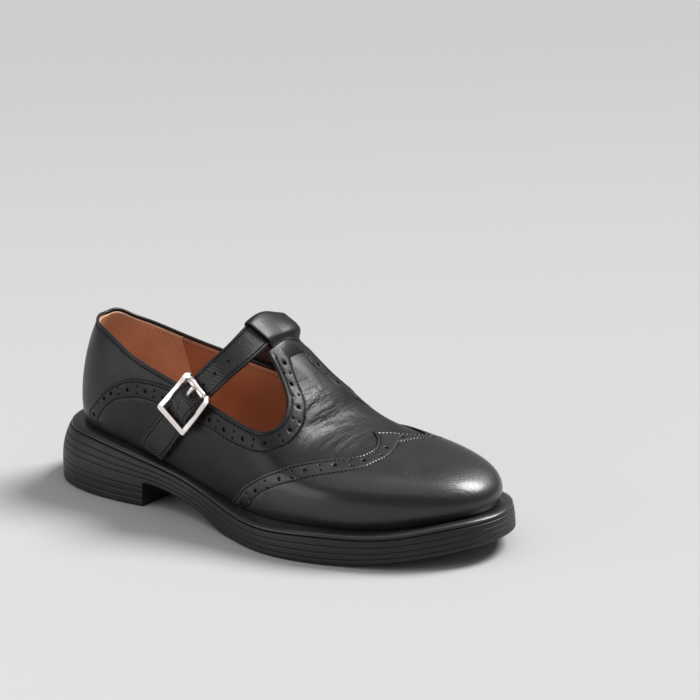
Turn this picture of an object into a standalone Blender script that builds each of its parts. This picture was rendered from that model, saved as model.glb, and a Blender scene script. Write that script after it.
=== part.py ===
"""A right T-bar buckle shoe with a brogue toe cap, on a moulded rubber sole.

+X points to the toe, +Y to the inner (medial) side and +Z up. The shoe stands on z = 0
and the origin lies under the middle of its sole. Lengths are in metres.
"""

import math

import bmesh
import bpy
import numpy as np
from mathutils.geometry import delaunay_2d_cdt

MM = 0.001
LATERAL = -1
MEDIAL = 1

# Driving sizes of the sole
SOLE_LENGTH = 276 * MM
SOLE_BALL = 111 * MM
HEEL_LENGTH = 77 * MM
HEEL_SEAT = 33 * MM
HEEL_BLOCK = 13.2 * MM
HEEL_BLOCK_LIFT = 3.3 * MM
FORE_THICKNESS = 15.5 * MM
TOE_SPRING = 11 * MM
ARCH_END = 142 * MM
SPRING_START = 200 * MM
SWING = 11.3 * MM
HEEL_LEAN = 6.5 * MM
GROOVE_DEPTH = 0.8 * MM
GROOVE_HALF = 0.6 * MM
EDGE_ROUND = 1.2 * MM
WELT_HEIGHT = 3 * MM
WELT_WIDTH = 12 * MM
WELT_ROUND = 1.8 * MM
INSOLE_THICKNESS = 3 * MM
INSOLE_CLEAR = 1.5 * MM
GAP = 0.3 * MM

# Driving sizes of the upper
WELT_LEDGE = 5.4 * MM
HEEL_LEDGE = 10.6 * MM
TOE_LEDGE = 8.5 * MM
BULGE = 17.5 * MM
INSTEP_RISE = 63.5 * MM
TOE_RISE = 25.5 * MM
WALL = 2 * MM
TUCK = 1.5 * MM
HEEL_STEP = 0.9 * MM
STEP_RUN = 0.8 * MM
CAP_THICKNESS = 1 * MM

# Driving sizes of the strap and its fittings
STRAP_WIDTH = 16 * MM
STRAP_THICKNESS = 1.8 * MM
STRAP_UNDER = 2.3 * MM
STRAP_TAIL = 3 * MM
TAIL_LENGTH = 41 * MM
TAB_THICKNESS = 1.3 * MM
TAB_RETURN = 5 * MM
TAB_RISE = 11 * MM
LOOP_THICKNESS = 1 * MM
LOOP_WIDTH = 32 * MM
LOOP_FRONT = 9.7 * MM
LOOP_TUCK = 5 * MM
LOOP_AT = 69.5 * MM
BUCKLE_LENGTH = 29 * MM
BUCKLE_WIDTH = 22.5 * MM
BUCKLE_CORNER = 2.4 * MM
FRAME_WIDTH = 2.8 * MM
FRAME_THICKNESS = 2 * MM
FRAME_LIFT = 5.5 * MM
BAR_RADIUS = 0.9 * MM
BAR_LIFT = 3.3 * MM
ROLLER_RADIUS = 1.9 * MM
ROLLER_WALL = 0.7 * MM
ROLLER_LENGTH = 13.8 * MM
PRONG_RADIUS = 0.7 * MM
PRONG_HOLE = 6 * MM
HOLE_LENGTH = 3.6 * MM
HOLE_WIDTH = 2.2 * MM
SLOT_WIDTH = 3 * MM

# The outline: half widths, as shares of SOLE_BALL, of the ellipse that each section belongs to.
# The lean of the side is a share of HEEL_LEAN.
SOLE_PLAN = {
    "share": (0.00, 0.06, 0.14, 0.24, 0.36, 0.48, 0.62, 0.76, 0.88, 0.95, 1.00),
    "lateral": (0.685, 0.614, 0.524, 0.432, 0.358, 0.420, 0.568, 0.624, 0.650, 0.646, 0.638),
    "medial": (0.685, 0.550, 0.455, 0.387, 0.306, 0.324, 0.432, 0.540, 0.590, 0.605, 0.638),
    "lean": (1.00, 0.95, 0.85, 0.65, 0.30, 0.16, 0.14, 0.14, 0.18, 0.25, 0.32),
}
# Top of the sole above its forefoot thickness: shares of the heel seat's rise and of the toe spring.
SOLE_TOP = {
    "share": (0.000, 0.145, 0.290, 0.435, 0.580, 0.725, 0.870, 1.000),
    "seat": (1.000, 0.990, 0.640, 0.206, 0.000, 0.000, 0.000, 0.000),
    "spring": (0.000, 0.000, 0.000, 0.000, 0.000, 0.155, 0.340, 0.835),
}
# The arch, from where it meets the ground (0) to the heel breast (1), as shares of HEEL_BLOCK.
ARCH = {
    "run": (0.00, 0.16, 0.34, 0.57, 0.80, 1.00),
    "rise": (0.00, 0.09, 0.36, 0.64, 0.88, 1.00),
}
SPRING_POWER = 1.7
SLAB_GROOVES = (0.24, 0.48, 0.74)
HEEL_GROOVES = (0.30, 0.56, 0.80)

# Sections of the upper. Half widths are shares of its ball width, and like the rises they belong
# to an ellipse along the shoe. bulge is the height of the widest line over the sole, a share of
# BULGE; instep and toe are shares of INSTEP_RISE and TOE_RISE; ridge is how far the ridge lies
# to the medial side, a share of the ball width; full squares the section off.
UPPER_PLAN = {
    "share": (0.00, 0.08, 0.20, 0.35, 0.50, 0.65, 0.80, 0.92, 1.00),
    "lateral": (0.630, 0.525, 0.411, 0.360, 0.429, 0.539, 0.603, 0.587, 0.635),
    "medial": (0.615, 0.479, 0.374, 0.320, 0.376, 0.461, 0.529, 0.580, 0.600),
    "bulge": (0.62, 0.62, 0.74, 1.00, 1.00, 0.71, 0.48, 0.51, 0.74),
    "instep": (2.130, 1.763, 1.402, 1.233, 1.000, 0.120, 0.000, 0.000, 0.000),
    "toe": (0.000, 0.000, 0.000, 0.000, 0.000, 0.980, 1.040, 1.170, 0.270),
    "ridge": (0.000, 0.000, 0.000, 0.000, 0.012, 0.034, 0.052, 0.041, 0.020),
    "full": (-0.030, -0.010, -0.010, -0.010, 0.010, 0.060, 0.127, 0.080, 0.020),
}
SKIRT = 0.18

# Lines on the upper: share along it, and height from the feather line (-1) by the widest
# line (0) to the ridge (1).
BACK_TOP = (0.036, 1.000)
LATERAL_OPENING = (
    (0.043, 0.800), (0.061, 0.621), (0.090, 0.520), (0.135, 0.439), (0.205, 0.342),
    (0.266, 0.296), (0.340, 0.262), (0.430, 0.255), (0.468, 0.264), (0.513, 0.292),
    (0.553, 0.343), (0.580, 0.407), (0.595, 0.493), (0.596, 0.591), (0.584, 0.683),
    (0.564, 0.736), (0.538, 0.773), (0.511, 0.797),
)
MEDIAL_OPENING = (
    (0.043, 0.800), (0.063, 0.545), (0.102, 0.404), (0.152, 0.336), (0.207, 0.302),
    (0.270, 0.280), (0.340, 0.268), (0.430, 0.268), (0.468, 0.280), (0.513, 0.305),
    (0.553, 0.350), (0.577, 0.407), (0.590, 0.480), (0.592, 0.560), (0.582, 0.635),
    (0.564, 0.682), (0.537, 0.712), (0.511, 0.733),
)
HEEL_ARC = (
    (0.080, -1.000), (0.078, -0.600), (0.077, -0.260), (0.097, 0.040), (0.131, 0.127),
    (0.166, 0.182), (0.199, 0.218), (0.239, 0.232), (0.310, 0.234), (0.370, 0.247),
    (0.420, 0.300),
)
WING_LATERAL = (
    (0.499, -1.000), (0.518, -0.716), (0.541, -0.281), (0.567, 0.024), (0.602, 0.142),
    (0.631, 0.252), (0.655, 0.351), (0.676, 0.434), (0.701, 0.525), (0.727, 0.605),
    (0.745, 0.659), (0.754, 0.701), (0.757, 0.765), (0.755, 0.840), (0.745, 0.902),
    (0.729, 0.967), (0.713, 1.000),
)
WING_MEDIAL = (
    (0.499, -1.000), (0.518, -0.716), (0.541, -0.281), (0.567, 0.020), (0.602, 0.135),
    (0.631, 0.235), (0.657, 0.325), (0.682, 0.400), (0.710, 0.475), (0.740, 0.538),
    (0.763, 0.585), (0.775, 0.628), (0.778, 0.680), (0.766, 0.740), (0.746, 0.823),
    (0.728, 0.903), (0.713, 1.000),
)
# The strap's middle line: share, height and side, from its foot inside the shoe's arch, over the
# instep and through the buckle to the foot of the tab.
BUCKLE_PLACE = (0.376, 0.207, LATERAL)
STRAP_LINE = (
    (0.264, -0.880, MEDIAL), (0.290, -0.350, MEDIAL), (0.325, 0.060, MEDIAL),
    (0.362, 0.200, MEDIAL), (0.408, 0.330, MEDIAL), (0.450, 0.530, MEDIAL),
    (0.476, 0.740, MEDIAL), (0.479, 0.920, MEDIAL), (0.479, 0.920, LATERAL),
    (0.477, 0.764, LATERAL), (0.458, 0.536, LATERAL), (0.417, 0.345, LATERAL),
    BUCKLE_PLACE, (0.322, 0.046, LATERAL), (0.290, -0.320, LATERAL), (0.265, -0.900, LATERAL),
)
# Where the strap's middle lies off the upper, from its foot to the buckle: share of the way
# and lift in thicknesses of the strap.
STRAP_LIFT = {
    "way": (0.00, 0.30, 0.50, 0.78, 0.93),
    "lift": (0.75, 0.75, 1.20, -0.50, 1.10),
}
END_SKEW = 0.7

UPPER_STEP = 8 * MM
STRAP_STEP = 2 * MM
SLAB_COLUMNS = 30
HEEL_COLUMNS = 12
ROD_SIDES = 10


def spline(knots, values, flat_ends=False):
    """A cubic through the values, natural at its ends or without slope there."""
    t = np.asarray(knots, float)
    v = np.asarray(values, float)
    h = np.diff(t)
    last = len(t) - 1
    a = np.eye(last + 1)
    b = np.zeros((last + 1,) + v.shape[1:])
    slope = (np.diff(v, axis=0).T / h).T
    for i in range(1, last):
        a[i, i - 1 : i + 2] = h[i - 1], 2 * (h[i - 1] + h[i]), h[i]
        b[i] = 6 * (slope[i] - slope[i - 1])
    if flat_ends:
        a[0, :2] = 2 * h[0], h[0]
        a[last, last - 1 :] = h[-1], 2 * h[-1]
        b[0] = 6 * slope[0]
        b[last] = -6 * slope[-1]
    bend = np.linalg.solve(a, b)

    def at(s):
        s = np.clip(np.asarray(s, float), t[0], t[-1])
        i = np.clip(np.searchsorted(t, s) - 1, 0, last - 1)
        shape = np.shape(s) + (1,) * (v.ndim - 1)
        p = (s - t[i]).reshape(shape)
        q = (t[i + 1] - s).reshape(shape)
        step = h[i].reshape(shape)
        curve = (bend[i] * q**3 + bend[i + 1] * p**3) / (6 * step)
        return curve + (v[i] / step - bend[i] * step / 6) * q + (v[i + 1] / step - bend[i + 1] * step / 6) * p

    return at


def angle(share):
    """The angle whose cosine runs evenly from the heel (0) to the toe (pi)."""
    return np.arccos(np.clip(1 - 2 * np.asarray(share, float), -1, 1))


def columns(table, key="share", over=angle, flat_ends=True):
    knots = over(table[key])
    return {name: spline(knots, table[name], flat_ends) for name in table if name != key}


SOLE = columns(SOLE_PLAN)
TOP = columns(SOLE_TOP, over=np.asarray)
UPPER = columns(UPPER_PLAN)
ARCH_LINE = spline(ARCH["run"], ARCH["rise"], flat_ends=True)
UPPER_LENGTH = SOLE_LENGTH - HEEL_LEDGE - TOE_LEDGE
UPPER_BALL = SOLE_BALL - 2 * WELT_LEDGE


def middle(x):
    """The shoe's own middle line, which swings to the medial side from the waist on."""
    u = np.clip((x / SOLE_LENGTH - 0.4) / 0.6, 0, 1)
    return SWING * u * u * (3 - 2 * u)


def sole_top(x):
    share = x / SOLE_LENGTH
    return FORE_THICKNESS + (HEEL_SEAT - FORE_THICKNESS) * TOP["seat"](share) + TOE_SPRING * TOP["spring"](share)


def slab_bottom(x):
    """The underside of the sole, carried on under the heel as the line where the block starts."""
    run = np.clip((ARCH_END - x) / (ARCH_END - HEEL_LENGTH), 0, 1)
    spring = np.clip((x - SPRING_START) / (SOLE_LENGTH - SPRING_START), 0, 1) ** SPRING_POWER
    behind = np.clip(1 - x / HEEL_LENGTH, 0, 1)
    return HEEL_BLOCK * ARCH_LINE(run) + HEEL_BLOCK_LIFT * behind + TOE_SPRING * spring


def outward(points):
    """Unit normals of a closed plan curve that runs anticlockwise."""
    along = np.roll(points, -1, axis=0) - np.roll(points, 1, axis=0)
    along /= np.linalg.norm(along, axis=1, keepdims=True)
    return np.stack([along[:, 1], -along[:, 0]], axis=1)


def sole_plan():
    """The sole's outline, anticlockwise from the heel, with a column on the breast at each side."""
    breast = angle(HEEL_LENGTH / SOLE_LENGTH)
    heel = np.linspace(0, breast, HEEL_COLUMNS + 1)
    theta = np.concatenate([heel, np.linspace(breast, math.pi, SLAB_COLUMNS + 1)[1:]])
    x = SOLE_LENGTH * (1 - np.cos(theta)) / 2
    width = SOLE_BALL * np.sin(theta)
    lateral = np.stack([x, middle(x) - SOLE["lateral"](theta) * width], axis=1)
    medial = np.stack([x, middle(x) + SOLE["medial"](theta) * width], axis=1)
    theta = np.concatenate([theta, theta[-2:0:-1]])
    return np.concatenate([lateral, medial[-2:0:-1]]), theta


ROLLER_AT = BUCKLE_LENGTH / 2 - ROLLER_RADIUS
PLAN, PLAN_ANGLE = sole_plan()
ORIGIN = np.array([SOLE_LENGTH / 2, (PLAN[:, 1].min() + PLAN[:, 1].max()) / 2, 0])


def section(theta, psi, side):
    """A point on the closed form of the upper, from the widest line (0) to the ridge (90 degrees)."""
    x = HEEL_LEDGE + UPPER_LENGTH * (1 - np.cos(theta)) / 2
    ellipse = np.sin(theta)
    width = UPPER_BALL * ellipse * np.where(side < 0, UPPER["lateral"](theta), UPPER["medial"](theta))
    ridge = UPPER_BALL * ellipse * UPPER["ridge"](theta)
    rise = ellipse * (INSTEP_RISE * UPPER["instep"](theta) + TOE_RISE * UPPER["toe"](theta))
    full = 1 + UPPER["full"](theta) * np.sin(2 * psi) ** 2
    y = middle(x) + ridge + side * (width - side * ridge) * np.cos(psi) * full
    z = sole_top(x) + BULGE * UPPER["bulge"](theta) + rise * np.sin(psi) * full
    return np.stack([x, y, z], axis=-1)


def rim(turn):
    """The widest line, by its bearing from the toe (0) round the medial side to the heel (pi)."""
    side = np.where(np.sin(turn) < 0, LATERAL, MEDIAL)
    return section(np.arccos(np.clip(-np.cos(turn), -1, 1)), np.zeros_like(turn), side)


def surface(place):
    """The upper's outside at chart places: the ridge is at the middle, the widest line at
    radius 1 and the feather line, where the upper meets the sole, at radius 1 + SKIRT."""
    reach = np.hypot(place[:, 0], place[:, 1])
    turn = np.arctan2(place[:, 1], place[:, 0])
    up = np.clip(1 - reach, 0, 1) * math.pi / 2
    across = np.cos(up) * np.sin(turn)
    theta = np.arccos(np.clip(-np.cos(up) * np.cos(turn), -1, 1))
    psi = np.arctan2(np.sin(up), np.abs(across))
    points = section(theta, psi, np.where(across < 0, LATERAL, MEDIAL))
    below = np.clip(reach - 1, 0, None) / SKIRT
    nudge = 1e-4
    along = rim(turn + nudge) - rim(turn - nudge)
    along /= np.linalg.norm(along[:, :2], axis=1, keepdims=True)
    inset = TUCK * below**2
    points[:, 0] -= inset * along[:, 1]
    points[:, 1] += inset * along[:, 0]
    points[:, 2] += (sole_top(points[:, 0]) + GAP - points[:, 2]) * below
    return points


def normals(place):
    nudge = 1e-4
    step_p = np.array([nudge, 0])
    step_q = np.array([0, nudge])
    along = surface(place + step_p) - surface(place - step_p)
    across = surface(place + step_q) - surface(place - step_q)
    out = np.cross(along, across)
    return out / np.linalg.norm(out, axis=1, keepdims=True)


def skin(place, lift=0.0):
    """Points that lie lift out from the upper's outside."""
    place = np.atleast_2d(np.asarray(place, float))
    lift = np.broadcast_to(np.asarray(lift, float), len(place))
    return surface(place) + normals(place) * lift[:, None]


def chart(rows, side):
    """Chart places of rows of share along the upper and height from feather (-1) to ridge (1)."""
    share, height = np.asarray(rows, float).T[:2]
    side = np.broadcast_to(np.asarray(side, float), share.shape)
    x = 2 * share - 1
    round_x = np.sqrt(np.clip(1 - x * x, 0, 1))
    psi = np.clip(height, 0, 1) * math.pi / 2
    y = side * round_x * np.cos(psi)
    reach = 1 - np.arcsin(np.clip(round_x * np.sin(psi), -1, 1)) / (math.pi / 2)
    reach = reach + SKIRT * np.clip(-height, 0, None)
    turn = np.arctan2(y, x)
    return np.stack([reach * np.cos(turn), reach * np.sin(turn)], axis=1)


def run(place, step):
    """A smooth line through chart places, cut about every step along the upper."""
    knots = np.concatenate([[0], np.cumsum(np.linalg.norm(np.diff(skin(place), axis=0), axis=1))])
    line = spline(knots, place)
    fine = np.linspace(0, knots[-1], 20 * len(place))
    length = np.concatenate([[0], np.cumsum(np.linalg.norm(np.diff(skin(line(fine)), axis=0), axis=1))])
    count = max(2, int(round(length[-1] / step)) + 1)
    return line(np.interp(np.linspace(0, length[-1], count), length, fine))


def inside(places, polygon):
    """Which places lie inside a closed chart polygon."""
    x, y = places[:, :1], places[:, 1:]
    ax, ay = polygon.T
    bx, by = np.roll(polygon, -1, axis=0).T
    crosses = (ay > y) != (by > y)
    safe = np.where(by == ay, 1, by - ay)
    return ((crosses & (x < ax + (y - ay) / safe * (bx - ax))).sum(axis=1) % 2).astype(bool)


def feather(step, ends):
    """The line where the upper meets the sole, cut about every step and at each of the ends."""
    turn = np.linspace(-math.pi, math.pi, 721)
    ring = (1 + SKIRT) * np.stack([np.cos(turn), np.sin(turn)], axis=1)
    length = np.concatenate([[0], np.cumsum(np.linalg.norm(np.diff(skin(ring), axis=0), axis=1))])
    count = int(round(length[-1] / step))
    even = np.arange(count) / count * length[-1]
    fixed = np.interp(np.arctan2(ends[:, 1], ends[:, 0]), turn, length)
    clear = np.abs(even[:, None] - fixed).min(axis=1) > 0.4 * step
    turns = np.interp(np.sort(np.concatenate([even[clear], fixed])), length, turn)
    return (1 + SKIRT) * np.stack([np.cos(turns), np.sin(turns)], axis=1)


def opening(step):
    """The edge of the collar, the two throats and the T-bar, as one closed chart line."""
    lateral = chart(LATERAL_OPENING[::-1], LATERAL)
    back = chart([BACK_TOP], MEDIAL)
    medial = chart(MEDIAL_OPENING, MEDIAL)
    edge = run(np.concatenate([lateral, back, medial]), step)
    end = run(np.stack([edge[-1], edge[0]]), step)
    return np.concatenate([edge, end[1:-1]])


def wing(step):
    lateral = run(chart(WING_LATERAL, LATERAL), step)
    medial = run(chart(WING_MEDIAL, MEDIAL), step)
    tip = (lateral[-1] + medial[-1]) / 2
    return np.concatenate([lateral[:-1], [tip], medial[-2::-1]])


def moved(place, want):
    """Chart places moved so that their points on the upper move by want."""
    nudge = 1e-4
    along = (surface(place + [nudge, 0]) - surface(place - [nudge, 0])) / (2 * nudge)
    across = (surface(place + [0, nudge]) - surface(place - [0, nudge])) / (2 * nudge)
    frame = np.stack([along, across], axis=2)
    square = np.einsum("nij,nik->njk", frame, frame)
    side = np.einsum("nij,ni->nj", frame, want)
    return place + np.linalg.solve(square, side[:, :, None])[:, :, 0]


def shifted(line, distance):
    """A chart line moved sideways along the upper, to the left of its direction."""
    ahead = np.gradient(surface(line), axis=0)
    sideways = np.cross(normals(line), ahead)
    sideways /= np.linalg.norm(sideways, axis=1, keepdims=True)
    return moved(line, sideways * distance)


def below(place, targets):
    """The chart places under points near the upper, sought from a place close by."""
    found = np.repeat(np.atleast_2d(place), len(targets), axis=0)
    for _ in range(6):
        found = moved(found, targets - surface(found))
    return found


def heel_arcs(distance):
    """The heel piece's front edge on both sides, moved by distance to the heel."""
    lateral = shifted(run(chart(HEEL_ARC, LATERAL), UPPER_STEP), distance)
    medial = shifted(run(chart(HEEL_ARC, MEDIAL), UPPER_STEP), -distance)
    for line in (lateral, medial):
        line[0] *= (1 + SKIRT) / np.linalg.norm(line[0])
    return lateral, medial


def base_line():
    """The feather line with a point at the foot of each line that runs down to it."""
    tip = wing(UPPER_STEP)
    ends = [tip[0], tip[-1]]
    for distance in (0.0, STEP_RUN):
        ends += [line[0] for line in heel_arcs(distance)]
    return feather(UPPER_STEP, np.array(ends))


def grid(step):
    """Chart places on even rings, to fill the upper between its edges."""
    turn = np.linspace(-math.pi, math.pi, 361)
    girth = (UPPER_BALL + 2 * INSTEP_RISE) / 2
    rings = [1.0, 1 + SKIRT / 2, *np.arange(1 - step / girth, 0.1, -step / girth)]
    places = []
    for k, radius in enumerate(rings):
        ring = radius * np.stack([np.cos(turn), np.sin(turn)], axis=1)
        length = np.concatenate([[0], np.cumsum(np.linalg.norm(np.diff(surface(ring), axis=0), axis=1))])
        count = max(6, int(round(length[-1] / step)))
        at = np.interp((np.arange(count) + k % 2 / 2) / count * length[-1], length, turn)
        places.append(radius * np.stack([np.cos(at), np.sin(at)], axis=1))
    return np.concatenate(places)


def new_object(name, mesh, finish):
    made = bpy.data.objects.new(name, mesh)
    bpy.context.scene.collection.objects.link(made)
    made.data.materials.append(finish)
    mesh.shade_smooth()
    mesh.set_sharp_from_angle(angle=math.radians(35))
    return made


def solid(name, points, faces, finish):
    """One closed object from points in the shoe's own frame, whose x starts at the heel."""
    mesh = bpy.data.meshes.new(name)
    mesh.from_pydata((np.asarray(points, float) - ORIGIN).tolist(), [], [list(map(int, f)) for f in faces])
    body = bmesh.new()
    body.from_mesh(mesh)
    bmesh.ops.remove_doubles(body, verts=body.verts, dist=1e-6)
    bmesh.ops.recalc_face_normals(body, faces=body.faces)
    body.to_mesh(mesh)
    body.free()
    return new_object(name, mesh, finish)


def panel(name, edges, lines, step, outer, inner, finish):
    """A shell over the part of the chart between the closed edges, from outer to inner lift."""
    places = []
    links = []
    for line, closed in [(edge, True) for edge in edges] + [(line, False) for line in lines]:
        start = len(places)
        places.extend(line.tolist())
        links += [(start + i, start + i + 1) for i in range(len(line) - 1)]
        if closed:
            links.append((start + len(line) - 1, start))
    places = np.array(places)
    fill = grid(step)
    keep = inside(fill, edges[0])
    for hole in edges[1:]:
        keep &= ~inside(fill, hole)
    fill = fill[keep]
    taken = skin(places)
    for place, point in zip(fill, skin(fill)):
        if np.linalg.norm(taken - point, axis=1).min() > 0.7 * step:
            taken = np.vstack([taken, point])
            places = np.vstack([places, place])
    stretch = np.array([1.6, 1.0])
    flat, _, faces, *_ = delaunay_2d_cdt((places * stretch).tolist(), links, [], 0, 1e-7)
    places = np.array([tuple(v) for v in flat]) / stretch
    faces = np.array(faces)
    centres = places[faces].mean(axis=1)
    keep = inside(centres, edges[0])
    for hole in edges[1:]:
        keep &= ~inside(centres, hole)
    faces = faces[keep]
    used, index = np.unique(faces, return_inverse=True)
    places = places[used]
    faces = index.reshape(-1, 3)
    top = skin(places, outer(places))
    bottom = skin(places, inner(places))
    at_feather = np.hypot(*places.T) > 1 + 0.999 * SKIRT
    for layer in (top, bottom):
        layer[at_feather, 2] = sole_top(layer[at_feather, 0]) + GAP
    count = len(places)
    sides = np.concatenate([faces[:, [0, 1]], faces[:, [1, 2]], faces[:, [2, 0]]])
    pairs = {tuple(pair) for pair in sides.tolist()}
    walls = [(a, a + count, b + count, b) for a, b in pairs if (b, a) not in pairs]
    made = faces.tolist() + (faces[:, ::-1] + count).tolist() + walls
    return solid(name, np.concatenate([top, bottom]), made, finish)


def material(name, colour, roughness, metallic=0.0):
    made = bpy.data.materials.new(name)
    made.use_nodes = True
    shader = made.node_tree.nodes["Principled BSDF"]
    shader.inputs["Base Color"].default_value = (*colour, 1)
    shader.inputs["Roughness"].default_value = roughness
    shader.inputs["Metallic"].default_value = metallic
    made.diffuse_color = (*colour, 1)
    return made


def clear_scene():
    for thing in list(bpy.data.objects):
        bpy.data.objects.remove(thing, do_unlink=True)


def ring_faces(below, above):
    """Quads between two closed rows of vertex numbers."""
    count = len(below)
    return [
        (below[i], below[(i + 1) % count], above[(i + 1) % count], above[i]) for i in range(count)
    ]


def across(row, first, last):
    """Faces from the lateral half of a closed plan row to its medial half."""
    count = len(row)
    faces = []
    for i in range(first, last):
        corners = [i, i + 1, count - i - 1, (count - i) % count]
        faces.append([row[k] for k in dict.fromkeys(corners)])
    return faces


def side_inset(theta, x, z):
    """How far the sole's side leans in at a height."""
    share = np.clip((z / sole_top(x) - 0.33) / 0.67, 0, 1)
    return HEEL_LEAN * SOLE["lean"](theta) * share**2.2


def plan_row(inset, z):
    """A row of the plan set in from the outline, with the lean that its height has."""
    x = PLAN[:, 0]
    z = np.broadcast_to(z, x.shape)
    places = PLAN - outward(PLAN) * (inset + side_inset(PLAN_ANGLE, x, z))[:, None]
    return np.column_stack([places, z])


def groove_rows(low, high, shares):
    """Plan rows between two heights, with a groove at each share of the way up."""
    rows = []
    for share in shares:
        z = low + (high - low) * share
        rows.append(plan_row(0 * z, z - GROOVE_HALF))
        rows.append(plan_row(0 * z + GROOVE_DEPTH, z))
        rows.append(plan_row(0 * z, z + GROOVE_HALF))
    return rows


def outsole(finish):
    x = PLAN[:, 0]
    bottom = slab_bottom(x)
    shelf = sole_top(x) - WELT_HEIGHT
    edge = np.full(len(x), EDGE_ROUND)
    heel = x <= HEEL_LENGTH + 1e-6
    under = np.where(heel, 0 * x, edge)
    slab = [plan_row(under, bottom), plan_row(0 * x, bottom + np.where(heel, GROOVE_HALF, edge))]
    slab += groove_rows(bottom, shelf, SLAB_GROOVES)
    slab.append(plan_row(0 * x, shelf - GROOVE_HALF))
    slab.append(plan_row(0 * x + GROOVE_DEPTH, shelf))
    slab.append(plan_row(0 * x + WELT_WIDTH + GAP, shelf))
    plateau = plan_row(0 * x + WELT_WIDTH + GAP, shelf)
    plateau[:, 2] = sole_top(plateau[:, 0])
    slab.append(plateau)
    block = [plan_row(edge, 0 * x), plan_row(0 * x, edge)]
    block += groove_rows(0 * x, bottom, HEEL_GROOVES)
    points = np.concatenate(slab + block)
    count = len(x)
    rows = [np.arange(count) + count * i for i in range(len(slab) + len(block))]
    tip = HEEL_COLUMNS + SLAB_COLUMNS
    faces = []
    for low, high in zip(rows[: len(slab) - 1], rows[1 : len(slab)]):
        faces += ring_faces(low, high)
    faces += across(rows[len(slab) - 1], 0, tip)
    faces += across(rows[0], HEEL_COLUMNS, tip)
    wall = rows[len(slab) :] + [rows[0]]
    at_heel = [i for i in range(count) if heel[i] and heel[(i + 1) % count]]
    breast_lateral = HEEL_COLUMNS
    breast_medial = count - HEEL_COLUMNS
    for low, high in zip(wall[:-1], wall[1:]):
        quads = ring_faces(low, high)
        faces += [quads[i] for i in at_heel]
        faces.append((low[breast_lateral], low[breast_medial], high[breast_medial], high[breast_lateral]))
    faces += across(wall[0], 0, HEEL_COLUMNS)
    used = sorted({v for face in faces for v in face})
    number = {v: i for i, v in enumerate(used)}
    return solid("outsole", points[used], [[number[v] for v in face] for face in faces], finish)


def welt(finish):
    """The rand round the sole: a rounded bead outside, flat on top where the upper sits."""
    x = PLAN[:, 0]
    shelf = sole_top(x) - WELT_HEIGHT + GAP
    height = WELT_HEIGHT - GAP
    inner = plan_row(0 * x + WELT_WIDTH, shelf)
    rows = [inner, plan_row(0 * x + 0.3 * WELT_ROUND, shelf)]
    for inset, share in ((0.0, 0.3), (0.15, 0.7), (0.5, 0.92)):
        rows.append(plan_row(0 * x + inset * WELT_ROUND, shelf + height * share))
    on_top = [plan_row(0 * x + inset, shelf + height) for inset in (WELT_ROUND, WELT_WIDTH / 2)]
    for row in (*on_top, inner.copy()):
        row[:, 2] = sole_top(row[:, 0])
        rows.append(row)
    count = len(x)
    faces = []
    for i in range(len(rows)):
        low = np.arange(count) + count * i
        high = np.arange(count) + count * ((i + 1) % len(rows))
        faces += ring_faces(low, high)
    return solid("welt", np.concatenate(rows), faces, finish)


def insole(finish):
    """The sock that covers the sole inside the upper."""
    turn = np.linspace(-math.pi, math.pi, 65)[:-1]
    edge = rim(turn)[:, :2]
    normal = outward(edge)
    rows = []
    bevel = 0.6 * MM
    clear = TUCK + WALL + HEEL_STEP + INSOLE_CLEAR
    for inset, lift in ((clear, 0), (clear, INSOLE_THICKNESS - bevel), (clear + bevel, INSOLE_THICKNESS)):
        places = edge - normal * inset
        rows.append(np.column_stack([places, sole_top(places[:, 0]) + GAP + lift]))
    count = len(turn)
    number = [np.arange(count) + count * i for i in range(3)]
    faces = ring_faces(number[0], number[1]) + ring_faces(number[1], number[2])
    faces += across(number[0], 0, count // 2) + across(number[2], 0, count // 2)
    return solid("insole", np.concatenate(rows), faces, finish)


def upper(finish):
    lateral, medial = heel_arcs(STEP_RUN / 2)
    far = 3.0
    behind = np.concatenate([lateral[::-1], [[-far, -far], [-far, far]], medial])

    def outer(places):
        return np.where(inside(places, behind), -HEEL_STEP, 0.0)

    def inner(places):
        return np.full(len(places), -WALL - HEEL_STEP)

    lines = [*heel_arcs(0.0), *heel_arcs(STEP_RUN), wing(UPPER_STEP)]
    edges = [base_line(), opening(UPPER_STEP / 1.6)]
    return panel("upper", edges, lines, UPPER_STEP, outer, inner, finish)


def toe_cap(finish):
    """The wing-tip cap, which lies over the front of the upper."""
    line = wing(UPPER_STEP)
    around = base_line()
    bearing = np.arctan2(around[:, 1], around[:, 0])
    low, high = np.arctan2(line[[0, -1], 1], line[[0, -1], 0])
    front = around[(bearing > low + 1e-4) & (bearing < high - 1e-4)]

    def outer(places):
        return np.full(len(places), GAP + CAP_THICKNESS)

    def inner(places):
        return np.full(len(places), GAP)

    return panel("toe_cap", [np.concatenate([line[::-1], front])], [], UPPER_STEP, outer, inner, finish)


def strap_line():
    """Chart places by distance along the strap's middle, from the buckle towards the loop."""
    places = np.concatenate([chart([row], row[2]) for row in STRAP_LINE])[::-1]
    start = STRAP_LINE[::-1].index(BUCKLE_PLACE)
    knots = np.concatenate([[0], np.cumsum(np.linalg.norm(np.diff(surface(places), axis=0), axis=1))])
    knots -= knots[start]
    return spline(knots, places), knots[0], knots[-1]


STRAP_PLACE, STRAP_LOW, STRAP_HIGH = strap_line()


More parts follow.
